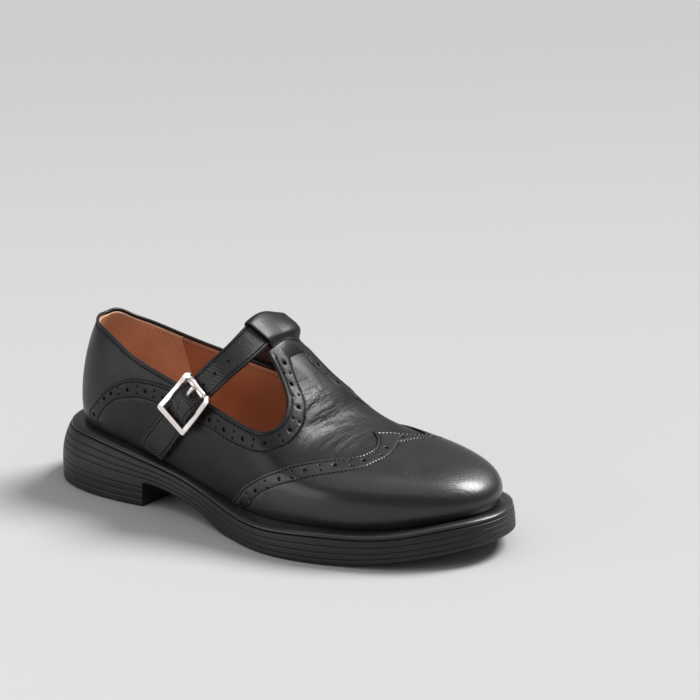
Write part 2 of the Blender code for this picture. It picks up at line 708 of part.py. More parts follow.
def on_strap(s, b, lift):
    """Points at distance s along the strap's middle, b to its side and lift off the upper."""
    s, b, lift = (np.ravel(v).astype(float) for v in np.broadcast_arrays(s, b, lift))
    place = STRAP_PLACE(s)
    nudge = 1e-4
    up = normals(place)
    within = np.clip(s, STRAP_LOW + nudge, STRAP_HIGH - nudge)
    ahead = surface(STRAP_PLACE(within + nudge)) - surface(STRAP_PLACE(within - nudge))
    aside = np.cross(up, ahead)
    aside /= np.linalg.norm(aside, axis=1, keepdims=True)
    return surface(place) + up * lift[:, None] + aside * b[:, None]


def ease(at, knots, values):
    """Values that rest at each knot and pass smoothly from one to the next."""
    at = np.clip(at, knots[0], knots[-1])
    i = np.clip(np.searchsorted(knots, at) - 1, 0, len(knots) - 2)
    knots, values = np.asarray(knots), np.asarray(values)
    t = (at - knots[i]) / (knots[i + 1] - knots[i])
    return values[i] + (values[i + 1] - values[i]) * t * t * (3 - 2 * t)


def sheet(name, top, bottom, keep, finish):
    """A closed sheet over a grid of points, without the cells that keep leaves out."""
    rows, across_count = top.shape[:2]
    number = np.arange(rows * across_count).reshape(rows, across_count)
    under = number + rows * across_count
    faces = []
    for i, j in zip(*np.nonzero(keep)):
        corners = [(i, j), (i + 1, j), (i + 1, j + 1), (i, j + 1)]
        faces.append([number[c] for c in corners])
        faces.append([under[c] for c in corners[::-1]])
        beside = [(i, j - 1), (i + 1, j), (i, j + 1), (i - 1, j)]
        for k, (u, v) in enumerate(beside):
            if 0 <= u < keep.shape[0] and 0 <= v < keep.shape[1] and keep[u, v]:
                continue
            a, b = corners[k], corners[(k + 1) % 4]
            faces.append([number[b], number[a], under[a], under[b]])
    points = np.concatenate([top.reshape(-1, 3), bottom.reshape(-1, 3)])
    used = np.unique(np.concatenate(faces))
    renumber = {old: new for new, old in enumerate(used)}
    return solid(name, points[used], [[renumber[v] for v in face] for face in faces], finish)


def ribbon(name, path, thickness, asides, keep, skew, finish):
    """A sheet along a path of distance and lift, skewed across at each of its rows."""
    ahead = np.gradient(path, axis=0)
    ahead /= np.linalg.norm(ahead, axis=1, keepdims=True)
    normal = np.stack([-ahead[:, 1], ahead[:, 0]], axis=1)
    layers = []
    for out in (thickness / 2, -thickness / 2):
        at = path + normal * out
        s = at[:, :1] + skew[:, None] * asides[None, :]
        b = np.broadcast_to(asides, s.shape)
        lift = np.broadcast_to(at[:, 1:], s.shape)
        layers.append(on_strap(s, b, lift).reshape(*s.shape, 3))
    return sheet(name, layers[0], layers[1], keep, finish)


def end_skew(s, low, high):
    """Skew that follows the feather line at both feet of the strap line."""
    reach = 3 * STRAP_WIDTH
    near_low = np.clip(1 - (s - low) / reach, 0, 1)
    near_high = np.clip(1 - (high - s) / reach, 0, 1)
    return END_SKEW * (near_high - near_low)


def strap_lift(s):
    """How far the strap's middle lies off the upper: it passes under both ends of the buckle
    and over the bar between them."""
    low_end = FRAME_WIDTH / 2 - BUCKLE_LENGTH / 2
    way = np.array(STRAP_LIFT["way"][::-1]) * (ROLLER_AT - STRAP_HIGH) + STRAP_HIGH
    lift = np.array(STRAP_LIFT["lift"][::-1]) * STRAP_THICKNESS
    over_bar = BAR_LIFT + BAR_RADIUS + TAB_THICKNESS + 2 * GAP + STRAP_THICKNESS / 2
    crest = BAR_RADIUS
    knots = [-TAIL_LENGTH, low_end + crest, -crest, crest, ROLLER_AT - crest, ROLLER_AT + ROLLER_RADIUS, *way]
    return ease(s, knots, [STRAP_TAIL, STRAP_TAIL, over_bar, over_bar, STRAP_UNDER, STRAP_UNDER, *lift])


def strap(finish):
    tail = -TAIL_LENGTH
    hole = np.array([PRONG_HOLE - HOLE_LENGTH / 2, PRONG_HOLE + HOLE_LENGTH / 2])
    past_roller = ROLLER_AT + 3 * ROLLER_RADIUS
    fine = np.arange(tail, past_roller, STRAP_STEP)
    clear = np.abs(fine[:, None] - hole).min(axis=1) > 0.4 * STRAP_STEP
    coarse = np.linspace(past_roller + STRAP_STEP / 2, STRAP_HIGH, 34)
    s = np.concatenate([np.sort(np.concatenate([fine[clear], hole])), coarse])
    asides = np.array([-STRAP_WIDTH, -HOLE_WIDTH, HOLE_WIDTH, STRAP_WIDTH]) / 2
    keep = np.ones((len(s) - 1, 3), bool)
    keep[(s[:-1] >= hole[0] - 1e-9) & (s[1:] <= hole[1] + 1e-9), 1] = False
    path = np.stack([s, strap_lift(s)], axis=1)
    skew = np.where(s > 0, end_skew(s, STRAP_LOW, STRAP_HIGH), 0)
    ribbon("strap", path, STRAP_THICKNESS, asides, keep, skew, finish)


def buckle_tab(finish):
    """The short strap that holds the buckle: it lies on the upper and wraps the centre bar."""
    flat = GAP + TAB_THICKNESS / 2
    wrap = BAR_RADIUS + GAP + TAB_THICKNESS / 2
    rise = np.array([[-1.0, 0.0], [-0.85, 0.03], [-0.7, 0.14], [-0.5, 0.42], [-0.3, 0.77], [-0.14, 0.96]])
    rise = rise * [TAB_RISE, BAR_LIFT + wrap - flat] + [0, flat]
    low = np.linspace(STRAP_LOW, -TAB_RISE - STRAP_STEP, 8)
    foot = np.stack([low, np.full(8, flat)], axis=1)
    turn = np.linspace(math.pi / 2, -math.pi / 2, 7)
    round_bar = np.stack([wrap * np.cos(turn), BAR_LIFT + wrap * np.sin(turn)], axis=1)
    back = np.array([[-0.5 * TAB_RETURN, BAR_LIFT - wrap], [-TAB_RETURN, BAR_LIFT - wrap - 0.7 * GAP]])
    path = np.concatenate([foot, rise, round_bar, back])
    asides = np.array([-STRAP_WIDTH, -SLOT_WIDTH, SLOT_WIDTH, STRAP_WIDTH]) / 2
    keep = np.ones((len(path) - 1, 3), bool)
    slot = len(foot) + 4
    keep[slot:-1, 1] = False
    skew = np.where(path[:, 0] < -TAB_RISE, end_skew(path[:, 0], STRAP_LOW, STRAP_HIGH), 0)
    ribbon("buckle_tab", path, TAB_THICKNESS, asides, keep, skew, finish)


def rod(name, path, radius, aside, finish):
    """A round rod along a path of distance and lift."""
    ahead = np.gradient(path, axis=0)
    ahead /= np.linalg.norm(ahead, axis=1, keepdims=True)
    normal = np.stack([-ahead[:, 1], ahead[:, 0]], axis=1)
    turn = np.arange(ROD_SIDES) / ROD_SIDES * 2 * math.pi
    points = []
    for at, out, size in zip(path, normal, radius):
        where = at + out * (size * np.cos(turn))[:, None]
        points.append(on_strap(where[:, 0], aside + size * np.sin(turn), where[:, 1]))
    rings = [np.arange(ROD_SIDES) + ROD_SIDES * i for i in range(len(path))]
    faces = [face for a, b in zip(rings[:-1], rings[1:]) for face in ring_faces(a, b)]
    faces += [list(rings[0]), list(rings[-1])]
    return solid(name, np.concatenate(points), faces, finish)


def cross_bar(name, s, lift, radius, length, bore, finish):
    """A straight round bar across the strap, or a tube when it has a bore."""
    turn = np.arange(2 * ROD_SIDES) / ROD_SIDES * math.pi
    rings = []
    for size in (radius, bore) if bore else (radius,):
        for end in (-length / 2, length / 2):
            rings.append(on_strap(s + size * np.cos(turn), end, lift + size * np.sin(turn)))
    number = [np.arange(len(turn)) + len(turn) * i for i in range(len(rings))]
    faces = ring_faces(number[0], number[1])
    if bore:
        faces += ring_faces(number[1], number[3]) + ring_faces(number[3], number[2])
        faces += ring_faces(number[2], number[0])
    else:
        faces += [list(number[0]), list(number[1])]
    return solid(name, np.concatenate(rings), faces, finish)


def join(body, cutter):
    """Joins a second solid to the first and removes it."""
    change = body.modifiers.new("join", "BOOLEAN")
    change.operation = "UNION"
    change.solver = "EXACT"
    change.object = cutter
    shape = bpy.data.meshes.new_from_object(body.evaluated_get(bpy.context.evaluated_depsgraph_get()))
    body.modifiers.remove(change)
    body.data = shape
    bpy.data.objects.remove(cutter, do_unlink=True)


def buckle_frame(finish):
    """The rim, thinned to an axle where the roller turns, and the bar across its middle."""
    low = BUCKLE_LENGTH / 2 - FRAME_WIDTH / 2
    high = ROLLER_AT
    half = BUCKLE_WIDTH / 2 - FRAME_WIDTH / 2
    corner = BUCKLE_CORNER
    stops = []
    corners = ((high, half, 0.0), (-low, half, 0.5), (-low, -half, 1.0), (high, -half, 1.5))
    for a, b, start in corners:
        for turn in np.linspace(start, start + 0.5, 5) * math.pi:
            out = np.array([math.cos(turn), math.sin(turn)])
            at = np.array([a - math.copysign(corner, a), b - math.copysign(corner, b)]) + corner * out
            stops.append((*at, *out))
        at, out = stops[-1][:2], stops[-1][2:]
        if abs(out[1]) > 0.5:
            goal = -low + corner if a > 0 else high - corner
            stops += [(u, at[1], *out) for u in np.linspace(at[0], goal, 9)[1:-1]]
        elif a < 0:
            stops += [(at[0], v, *out) for v in np.linspace(at[1], -at[1], 4)[1:-1]]
        else:
            thin, thick = ROLLER_LENGTH / 2 + GAP, ROLLER_LENGTH / 2 + 1.6 * GAP
            stops += [(at[0], v, *out) for v in (-thick, -thin, 0, thin, thick)]
    stops = np.array(stops)
    axle = (stops[:, 0] > high - 1e-6) & (np.abs(stops[:, 1]) < ROLLER_LENGTH / 2 + 1.3 * GAP)
    dip = np.clip(np.abs(stops[:, 0]) / (low - corner), 0, 1)
    lift = BAR_LIFT + (FRAME_LIFT - BAR_LIFT) * dip**1.5
    turn = np.arange(ROD_SIDES) / ROD_SIDES * 2 * math.pi
    points = []
    for (a, b, u, v), thin, base in zip(stops, axle, lift):
        wide = BAR_RADIUS if thin else FRAME_WIDTH / 2
        thick = BAR_RADIUS if thin else FRAME_THICKNESS / 2
        out = wide * np.cos(turn)
        points.append(on_strap(a + u * out, b + v * out, base + thick * np.sin(turn)))
    rings = [np.arange(ROD_SIDES) + ROD_SIDES * i for i in range(len(stops))]
    faces = [face for a, b in zip(rings, rings[1:] + rings[:1]) for face in ring_faces(a, b)]
    frame = solid("buckle_frame", np.concatenate(points), faces, finish)
    bar = cross_bar("bar", 0.0, BAR_LIFT, BAR_RADIUS, 2 * half, None, finish)
    join(frame, bar)


def buckle_prong(finish):
    """The prong: an eye round the centre bar, then up through the strap and onto the roller."""
    eye = BAR_RADIUS + PRONG_RADIUS + 0.7 * GAP
    turn = np.linspace(0.25, 1.75, 10) * math.pi
    ring = np.stack([eye * np.cos(turn), BAR_LIFT + eye * np.sin(turn)], axis=1)
    top = FRAME_LIFT + ROLLER_RADIUS + PRONG_RADIUS + GAP
    # way along the strap in prong radii off the hole or the roller, and share of the top lift
    climb = ((-3.4, 0.30), (-1.7, 0.36), (-0.7, 0.50), (0.1, 0.68), (1.4, 0.86), (3.4, 0.96))
    rest = ((-1.4, 1.00), (1.4, 1.00), (3.7, 0.97))
    rise = [(PRONG_HOLE + way * PRONG_RADIUS, share) for way, share in climb]
    rise += [(ROLLER_AT + way * PRONG_RADIUS, share) for way, share in rest]
    path = np.concatenate([ring, np.array(rise) * [1, top]])
    radius = np.full(len(path), PRONG_RADIUS)
    radius[-1] *= 0.6
    rod("buckle_prong", path, radius, 0.0, finish)


def t_bar_loop(finish):
    """The keeper at the end of the T-bar, a closed loop with a tongue sewn under the T-bar."""
    thick = LOOP_THICKNESS
    front = -LOOP_FRONT
    rear = STRAP_WIDTH / 2 + GAP + thick
    hollow = STRAP_THICKNESS / 2 + 2 * GAP
    top = hollow + thick
    soft = 0.8 * thick
    tongue = -WALL - HEEL_STEP - GAP
    tuck = front - LOOP_TUCK
    # place across the strap, and lift: off the strap's middle when the last entry is 1
    outer = [
        (front, top - soft, 1), (front + soft, top, 1), (rear - soft, top, 1), (rear, top - soft, 1),
        (rear, soft - top, 1), (rear - soft, -top, 1), (front + 4 * thick, -top, 1),
        (front + 2.5 * thick, tongue - thick, 0), (tuck, tongue - thick, 0), (tuck, tongue, 0),
        (front, tongue, 0),
    ]
    inner = [
        (front + thick, -hollow, 1), (rear - thick, -hollow, 1),
        (rear - thick, hollow, 1), (front + thick, hollow, 1),
    ]
    profile = np.array(outer + inner)
    links = [(i, (i + 1) % len(outer)) for i in range(len(outer))]
    links += [(len(outer) + i, len(outer) + (i + 1) % len(inner)) for i in range(len(inner))]
    middle_lift = strap_lift(LOOP_AT)
    shape = np.column_stack([profile[:, 0], profile[:, 1] + profile[:, 2] * middle_lift])
    _, _, cap, *_ = delaunay_2d_cdt((shape / MM).tolist(), links, [], 0, 1e-7)
    cap = np.array(cap)
    centres = shape[cap].mean(axis=1)
    cap = cap[inside(centres, shape[: len(outer)]) & ~inside(centres, shape[len(outer) :])]
    stations = np.linspace(-LOOP_WIDTH / 2, LOOP_WIDTH / 2, 11) + LOOP_AT
    points = []
    for s in stations:
        row = on_strap(s, profile[:, 0], profile[:, 1] + profile[:, 2] * strap_lift(s))
        tucked = below(STRAP_PLACE(s), on_strap(s, profile[:, 0], 0.0))
        on_upper = profile[:, 2] == 0
        row[on_upper] = skin(tucked, profile[:, 1])[on_upper]
        points.append(row)
    count = len(profile)
    faces = cap.tolist() + (cap + count * (len(stations) - 1)).tolist()
    for i in range(len(stations) - 1):
        a, b = count * i, count * (i + 1)
        faces += [(a + u, a + v, b + v, b + u) for u, v in links]
    return solid("t_bar_loop", np.concatenate(points), faces, finish)


def build():
    clear_scene()
    leather = material("black_leather", (0.018, 0.017, 0.018), 0.38)
    rubber = material("black_rubber", (0.035, 0.034, 0.035), 0.5)
    rand = material("rand_rubber", (0.03, 0.03, 0.03), 0.35)
    sock = material("tan_leather", (0.42, 0.2, 0.11), 0.6)
    patent = material("glossy_leather", (0.015, 0.014, 0.015), 0.2)
    nickel = material("bright_nickel", (0.75, 0.76, 0.78), 0.15, 1.0)
    outsole(rubber)
    welt(rand)
    insole(sock)
    upper(leather)
    toe_cap(leather)
    strap(leather)
    buckle_tab(leather)
    t_bar_loop(patent)
    buckle_frame(nickel)
    bore = ROLLER_RADIUS - ROLLER_WALL
    cross_bar("buckle_roller", ROLLER_AT, FRAME_LIFT, ROLLER_RADIUS, ROLLER_LENGTH, bore, nickel)
    buckle_prong(nickel)


build()
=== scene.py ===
"""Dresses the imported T-bar buckle shoe in fine leather panels, brogueing, stitches and fittings.

The shoe's own frame has x = 0 at the heel; ORIGIN moves a piece into the frame of the CAD.
"""

import math

import bpy
import numpy as np
from mathutils import Matrix, Vector, kdtree
from mathutils.geometry import delaunay_2d_cdt


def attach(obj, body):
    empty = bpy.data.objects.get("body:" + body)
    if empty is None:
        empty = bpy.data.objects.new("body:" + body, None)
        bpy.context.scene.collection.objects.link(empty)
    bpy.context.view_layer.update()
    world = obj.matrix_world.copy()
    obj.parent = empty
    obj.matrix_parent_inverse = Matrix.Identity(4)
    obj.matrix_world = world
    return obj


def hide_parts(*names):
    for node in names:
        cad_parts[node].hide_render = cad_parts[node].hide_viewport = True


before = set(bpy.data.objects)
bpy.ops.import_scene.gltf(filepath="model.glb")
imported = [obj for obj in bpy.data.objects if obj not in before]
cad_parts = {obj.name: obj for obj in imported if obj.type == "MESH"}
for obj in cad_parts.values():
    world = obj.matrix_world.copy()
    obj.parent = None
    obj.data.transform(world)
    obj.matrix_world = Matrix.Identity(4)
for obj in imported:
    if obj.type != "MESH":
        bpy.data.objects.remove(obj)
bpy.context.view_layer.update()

MM = 0.001
LATERAL = -1
MEDIAL = 1
# A step small enough to give a slope
NUDGE = 1e-4

# The photograph's camera, with angles in degrees and lengths in metres
CAMERA_BEARING = 36.632
CAMERA_HEIGHT = 17.745
CAMERA_ROLL = 0.256
CAMERA_LENS = 11.207
CAMERA_DISTANCE = 1.8764
CAMERA_AIM = Vector((0.0330, 0.0206, 0.0901))

# The light: bearings, heights and angles in degrees, lengths in metres
KEY_FROM = (155, 52)
KEY_ANGLE = 25
KEY_STRENGTH = 3.9
WORLD_COLOUR = (1.0, 0.985, 0.98, 1)
WORLD_STRENGTH = 0.27
# Each soft light's name, bearing, height, distance, size and power
SOFT_LIGHTS = (("fill", 20, 82, 1.9, (2.6, 2.2), 12.0), ("side", -32, 12, 1.8, (1.6, 0.9), 8.0))
LIGHT_AIM = Vector((0.03, 0.0, 0.04))
FLOOR_REACH = 6.0
# The floor's colour near the shoe, the painted shade of its far side behind the shoe, and the bearing along
# which that painted shade deepens
FLOOR_NEAR = (0.50, 0.495, 0.495, 1)
FLOOR_FAR_PAINTED_SHADE = (0.44, 0.432, 0.428, 1)
FLOOR_SHADE_TURN = -142

# The materials: roughness of a coat, the noise values that give none and all of a change, scale and
# detail of the noise in a colour and in a gloss, the form of fine lines, and the stretch and turn of
# a texture that has neither
COAT_ROUGHNESS = 0.2
CLOUD_LOW = 0.3
CLOUD_HIGH = 0.7
TINT_CLOUD = (45.0, 6.0)
GLOSS_CLOUD = (70.0, 5.0)
WAVY = {"Distortion": 2.5, "Detail": 2.0, "Detail Scale": 0.6}
EVEN = ((1, 1, 1), (0, 0, 0))

# Driving sizes of the sole
SOLE_LENGTH = 276 * MM
SOLE_BALL = 111 * MM
HEEL_LENGTH = 77 * MM
HEEL_SEAT = 33 * MM
HEEL_BLOCK = 13.2 * MM
HEEL_BLOCK_LIFT = 3.3 * MM
FORE_THICKNESS = 15.5 * MM
TOE_SPRING = 11 * MM
ARCH_END = 142 * MM
SPRING_START = 200 * MM
SWING = 11.3 * MM
SWING_START = 0.4
HEEL_LEAN = 6.5 * MM
LEAN_START = 0.33
LEAN_POWER = 2.2
GROOVE_DEPTH = 0.36 * MM
GROOVE_HALF = 0.32 * MM
EDGE_ROUND = 1.2 * MM
WELT_HEIGHT = 3 * MM
WELT_WIDTH = 12 * MM
WELT_ROUND = 4.4 * MM
# The bead's section: where it starts, its rows, how square it is, its widest line and its inset
# below that
BEAD_START = -0.32
BEAD_ROWS = 14
BEAD_SQUARE = 0.85
BEAD_WIDEST = 0.34
BEAD_UNDER = 0.35
GAP = 0.3 * MM

# Driving sizes of the upper
WELT_LEDGE = 5.4 * MM
HEEL_LEDGE = 10.6 * MM
TOE_LEDGE = 8.5 * MM
BULGE = 17.5 * MM
INSTEP_RISE = 63.5 * MM
TOE_RISE = 25.5 * MM
WALL = 2 * MM
TUCK = 1.5 * MM
HEEL_STEP = 0.9 * MM
CAP_THICKNESS = 1 * MM

# Driving sizes of the strap and its fittings
STRAP_WIDTH = 16 * MM
STRAP_THICKNESS = 1.8 * MM
STRAP_UNDER = 2.3 * MM
STRAP_TAIL = 3 * MM
TAIL_LENGTH = 41 * MM
TAB_THICKNESS = 1.3 * MM
TAB_RETURN = 5 * MM
TAB_RISE = 11 * MM
LOOP_AT = 69.5 * MM
BUCKLE_LENGTH = 29 * MM
BUCKLE_WIDTH = 22.5 * MM
FRAME_WIDTH = 2.8 * MM
FRAME_LIFT = 5.5 * MM
BAR_RADIUS = 0.9 * MM
BAR_LIFT = 3.3 * MM
ROLLER_RADIUS = 1.9 * MM
ROLLER_LENGTH = 13.8 * MM
PRONG_RADIUS = 0.7 * MM
PRONG_HOLE = 6 * MM
SLOT_WIDTH = 3 * MM

# The outline: half widths, as shares of SOLE_BALL, of the ellipse that each section belongs to.
# The lean of the side is a share of HEEL_LEAN.
SOLE_PLAN = {
    "share": (0, 0.06, 0.14, 0.24, 0.36, 0.48, 0.62, 0.76, 0.88, 0.95, 1),
    "lateral": (0.685, 0.614, 0.524, 0.432, 0.358, 0.42, 0.568, 0.624, 0.65, 0.646, 0.638),
    "medial": (0.685, 0.55, 0.455, 0.387, 0.306, 0.324, 0.432, 0.54, 0.59, 0.605, 0.638),
    "lean": (1, 0.95, 0.85, 0.65, 0.3, 0.16, 0.14, 0.14, 0.18, 0.25, 0.32),
}
# Top of the sole above its forefoot thickness: shares of the heel seat's rise and of the toe spring.
SOLE_TOP = {
    "share": (0, 0.145, 0.29, 0.435, 0.58, 0.725, 0.87, 1),
    "seat": (1, 0.99, 0.64, 0.206, 0, 0, 0, 0),
    "spring": (0, 0, 0, 0, 0, 0.155, 0.34, 0.835),
}
# The arch, from where it meets the ground (0) to the heel breast (1), as shares of HEEL_BLOCK.
ARCH = {
    "run": (0, 0.16, 0.34, 0.57, 0.8, 1),
    "rise": (0, 0.09, 0.36, 0.64, 0.88, 1),
}
SPRING_POWER = 1.7
SLAB_GROOVES = (0.24, 0.48, 0.74)
HEEL_GROOVES = (0.3, 0.56, 0.8)
# A groove: height off its middle in GROOVE_HALF, and share of its depth.
GROOVE_SHAPE = ((-2.6, 0), (-1, 0.03), (-0.5, 0.35), (0, 1), (0.5, 0.35), (1, 0.03), (2.6, 0))

# Sections of the upper. Half widths are shares of its ball width, and like the rises they belong
# to an ellipse along the shoe. bulge is the height of the widest line over the sole, a share of
# BULGE; instep and toe are shares of INSTEP_RISE and TOE_RISE; ridge is how far the ridge lies
# to the medial side, a share of the ball width; full squares the section off.
UPPER_PLAN = {
    "share": (0, 0.08, 0.2, 0.35, 0.5, 0.65, 0.8, 0.92, 1),
    "lateral": (0.63, 0.525, 0.411, 0.36, 0.429, 0.539, 0.603, 0.587, 0.635),
    "medial": (0.615, 0.479, 0.374, 0.32, 0.376, 0.461, 0.529, 0.58, 0.6),
    "bulge": (0.62, 0.62, 0.74, 1, 1, 0.71, 0.48, 0.42, 0.36),
    "instep": (2.13, 1.763, 1.402, 1.233, 1, 0.12, 0, 0, 0),
    "toe": (0, 0, 0, 0, 0, 0.98, 1.04, 1.13, 1),
    "ridge": (0, 0, 0, 0, 0.012, 0.034, 0.052, 0.041, 0.02),
    "full": (-0.03, -0.01, -0.01, -0.01, 0.01, 0.06, 0.127, 0.08, 0.02),
}
SKIRT = 0.18

# Lines on the upper: share along it, and height from the feather line (-1) by the widest
# line (0) to the ridge (1).
BACK_TOP = (0.036, 1)
LATERAL_OPENING = (
    (0.043, 0.8), (0.061, 0.621), (0.09, 0.52), (0.135, 0.439), (0.205, 0.342),
    (0.266, 0.296), (0.34, 0.262), (0.43, 0.255), (0.468, 0.264), (0.513, 0.292),
    (0.553, 0.343), (0.58, 0.407), (0.595, 0.493), (0.596, 0.591), (0.584, 0.683),
    (0.564, 0.736), (0.538, 0.773), (0.511, 0.797),
)
MEDIAL_OPENING = (
    (0.043, 0.8), (0.063, 0.545), (0.102, 0.404), (0.152, 0.336), (0.207, 0.302),
    (0.27, 0.28), (0.34, 0.268), (0.43, 0.268), (0.468, 0.28), (0.513, 0.305),
    (0.553, 0.35), (0.577, 0.407), (0.59, 0.48), (0.592, 0.56), (0.582, 0.635),
    (0.564, 0.682), (0.537, 0.712), (0.511, 0.733),
)
HEEL_ARC = (
    (0.08, -1), (0.078, -0.6), (0.077, -0.26), (0.097, 0.04), (0.131, 0.127),
    (0.166, 0.182), (0.199, 0.218), (0.239, 0.232), (0.31, 0.234), (0.37, 0.247),
    (0.42, 0.3),
)
WING_FOOT = ((0.499, -1), (0.518, -0.716), (0.541, -0.281))
WING_LATERAL = WING_FOOT + (
    (0.567, 0.024), (0.602, 0.142),
    (0.631, 0.252), (0.655, 0.351), (0.676, 0.434), (0.701, 0.525), (0.727, 0.605),
    (0.745, 0.659), (0.754, 0.701), (0.757, 0.765), (0.755, 0.84), (0.745, 0.902),
    (0.729, 0.967), (0.713, 1),
)
WING_MEDIAL = WING_FOOT + (
    (0.567, 0.02), (0.602, 0.135),
    (0.631, 0.235), (0.657, 0.325), (0.682, 0.4), (0.71, 0.475), (0.74, 0.538),
    (0.763, 0.585), (0.775, 0.628), (0.778, 0.68), (0.766, 0.74), (0.746, 0.823),
    (0.728, 0.903), (0.713, 1),
)
# The strap's middle line: share, height and side, from its foot inside the shoe's arch, over the
# instep and through the buckle to the foot of the tab.
BUCKLE_PLACE = (0.376, 0.207, LATERAL)
STRAP_LINE = (
    (0.264, -0.88, MEDIAL), (0.29, -0.35, MEDIAL), (0.325, 0.06, MEDIAL),
    (0.362, 0.2, MEDIAL), (0.408, 0.33, MEDIAL), (0.45, 0.53, MEDIAL),
    (0.476, 0.74, MEDIAL), (0.479, 0.92, MEDIAL), (0.479, 0.92, LATERAL),
    (0.477, 0.764, LATERAL), (0.458, 0.536, LATERAL), (0.417, 0.345, LATERAL),
    BUCKLE_PLACE, (0.322, 0.046, LATERAL), (0.29, -0.32, LATERAL), (0.265, -0.9, LATERAL),
)
# Where the strap's middle lies off the upper, from its foot to the buckle: share of the way
# and lift in thicknesses of the strap.
STRAP_LIFT = {
    "way": (0, 0.3, 0.5, 0.78, 0.93),
    "lift": (0.75, 0.75, -0.3, -0.3, 1.1),
}
END_SKEW = 0.7
SLAB_COLUMNS = 130
HEEL_COLUMNS = 44

# Sizes of the finish that the solids leave out
FINE_STEP = 1.6 * MM
LINE_STEP = 1.2 * MM
STRAP_STEP = 1.5 * MM
TAB_STEP = 1.2 * MM
LINING_STEP = 2.4 * MM
# Room between a filling point and a line, in steps
FILL_ROOM = 0.55
EDGE_MARGIN = 0.04 * MM
EDGE_ROLL = 0.6 * MM
ROLL_SHARES = (0.14, 0.45, 1)
UNDER_ROLL = 0.3 * MM
STRAP_UNDER_ROLL = 0.5 * MM
# How the chart is stretched while its triangles are made
STRETCH = (1.6, 1)
STRAP_CORNER = 1 * MM
ROW_HALF = 0.4 * MM
ROW_DEPTH = 0.24 * MM
EDGE_ROW = 1.7 * MM
TOPLINE_ROW = 2.3 * MM
BINDING = 1.35 * MM
BINDING_EDGE = (BINDING - 0.25 * MM, BINDING + 0.15 * MM)
BINDING_RISE = 0.3 * MM
STITCH_PITCH = 2.15 * MM
STITCH_LENGTH = 1.45 * MM
STITCH_RADIUS = 0.31 * MM
THREAD_LEVEL = -0.18 * MM
TAN_THREAD_LEVEL = 0.05 * MM
THREAD_SIDES = 6
# Rings of a stitch: place along its half length, girth and sink in radii.
THREAD_SHAPE = (
    (-1, 0.25, -1.1), (-0.82, 0.8, -0.35), (-0.4, 1, 0.1), (0.4, 1, 0.1), (0.82, 0.8, -0.35),
    (1, 0.25, -1.1),
)
BAR_END_ROOM = 3.4 * MM
BIG_HOLE = 1.15 * MM
SMALL_HOLE = 0.6 * MM
BIG_HOLE_SIDES = 14
SMALL_HOLE_SIDES = 10
PINHOLE_SIDES = 12
HOLE_DEPTH = 1.1 * MM
HOLE_LIP = 0.14 * MM
HOLE_FADE = 0.22 * MM
HOLE_ROOM = 1.3 * MM
HOLE_SHAPE = ((-HOLE_LIP, -0.01 * MM, HOLE_FADE), (HOLE_DEPTH, 0.12 * MM, 0))
PAIR_HALF = 1.9 * MM
BAND_MIDDLE = 5.7 * MM
PINHOLE = 0.75 * MM
PINHOLE_PITCH = 9 * MM
# Distances of the big holes from the foot of the band and of the wing.
BAND_HOLES = np.array([
    7, 27, 33.5, 46, 58.5, 71, 83, 95, 106.5, 118.5, 133, 147.5, 163, 178.5, 192.5, 205,
]) * MM
WING_HOLES = np.array([8, 24.5, 43, 57, 72.5, 88, 108]) * MM
PAIR_ROOM = 9 * MM
SKIN_THICKNESS = 0.8 * MM
SHELL_THICKNESS = 1.8 * MM
UNDERLAP = 3 * MM
HEEL_CLEAR = 0.6 * MM
LINING_DROP = 1.5 * MM
LINING_ROLL = 0.4 * MM
LINING_ROW = 2.2 * MM
GRIP_RISE = 0.25 * MM
# The lining's soft waves: depth, pitch by height and along, and how far from its edge they are full
RUCK = 0.35 * MM
RUCK_RISE = 4.2 * MM
RUCK_RUN = 9 * MM
RUCK_FULL = 12 * MM
CAP_CLEAR = 0.12 * MM
TUCKED = 0.1 * MM

RIM_WIDTH = 3.1 * MM
RIM_THICKNESS = 1.7 * MM
RIM_GROWTH = 0.9 * MM
RIM_DIP = 0.9 * MM
RIM_LENGTH = BUCKLE_LENGTH + RIM_GROWTH
RIM_BREADTH = BUCKLE_WIDTH + RIM_GROWTH
RIM_CORNERS = (3.2 * MM, 1.9 * MM, 1.9 * MM, 3.2 * MM)
BEVEL = 0.35 * MM
TAIL_SKEW = 0.17
BUCKLE_LEAN = 0.15
# The rim inside the roller: shares of its width and thickness, and where it thickens again
AXLE_WIDTH = 0.35
AXLE_THICKNESS = 0.6
AXLE_END = 0.9 * MM
SLEEVE = 0.9 * MM
SLEEVE_LIP = 0.5 * MM
LIP_SHARE = 0.45
SLEEVE_LATERAL = 14.6 * MM
SLEEVE_MEDIAL = 13 * MM
SLEEVE_POINTS = 64
SLEEVE_RINGS = 45
# A direction that no rod runs along, from which its rings are turned.
ROD_UP = (0.3, 0.2, 0.93)
# The tab's rise to the bar: shares of TAB_RISE back from it, and of the height.
TAB_SHAPE = ((-1, 0), (-0.85, 0.03), (-0.7, 0.14), (-0.5, 0.42), (-0.3, 0.77), (-0.14, 0.96))
# The roller's ends: place along its half length and share of its radius.
ROLLER_SHAPE = (
    (-1, 0.55), (-1, 0.93), (-0.97, 1), (-0.5, 1), (0, 1), (0.5, 1), (0.97, 1), (1, 0.93),
    (1, 0.55),
)
# The prong from its hole to over the roller: whether from the roller, millimetres from there, and share
# of its top height. Its girth, below: place along it and share of PRONG_RADIUS.
PRONG_SHAPE = (
    (False, -2.4, 0.3), (False, -1.2, 0.36), (False, -0.5, 0.5), (False, 0.1, 0.68), (False, 1, 0.86),
    (False, 2.4, 0.97), (True, -1.6, 1.01), (True, -0.2, 1.02), (True, 1.4, 0.99),
)
PRONG_RINGS = 70
PRONG_GIRTH = ((0, 0.03, 0.45, 0.75, 0.9, 0.96, 1), (0.5, 1, 1, 1.7, 1.95, 1.6, 0.6))

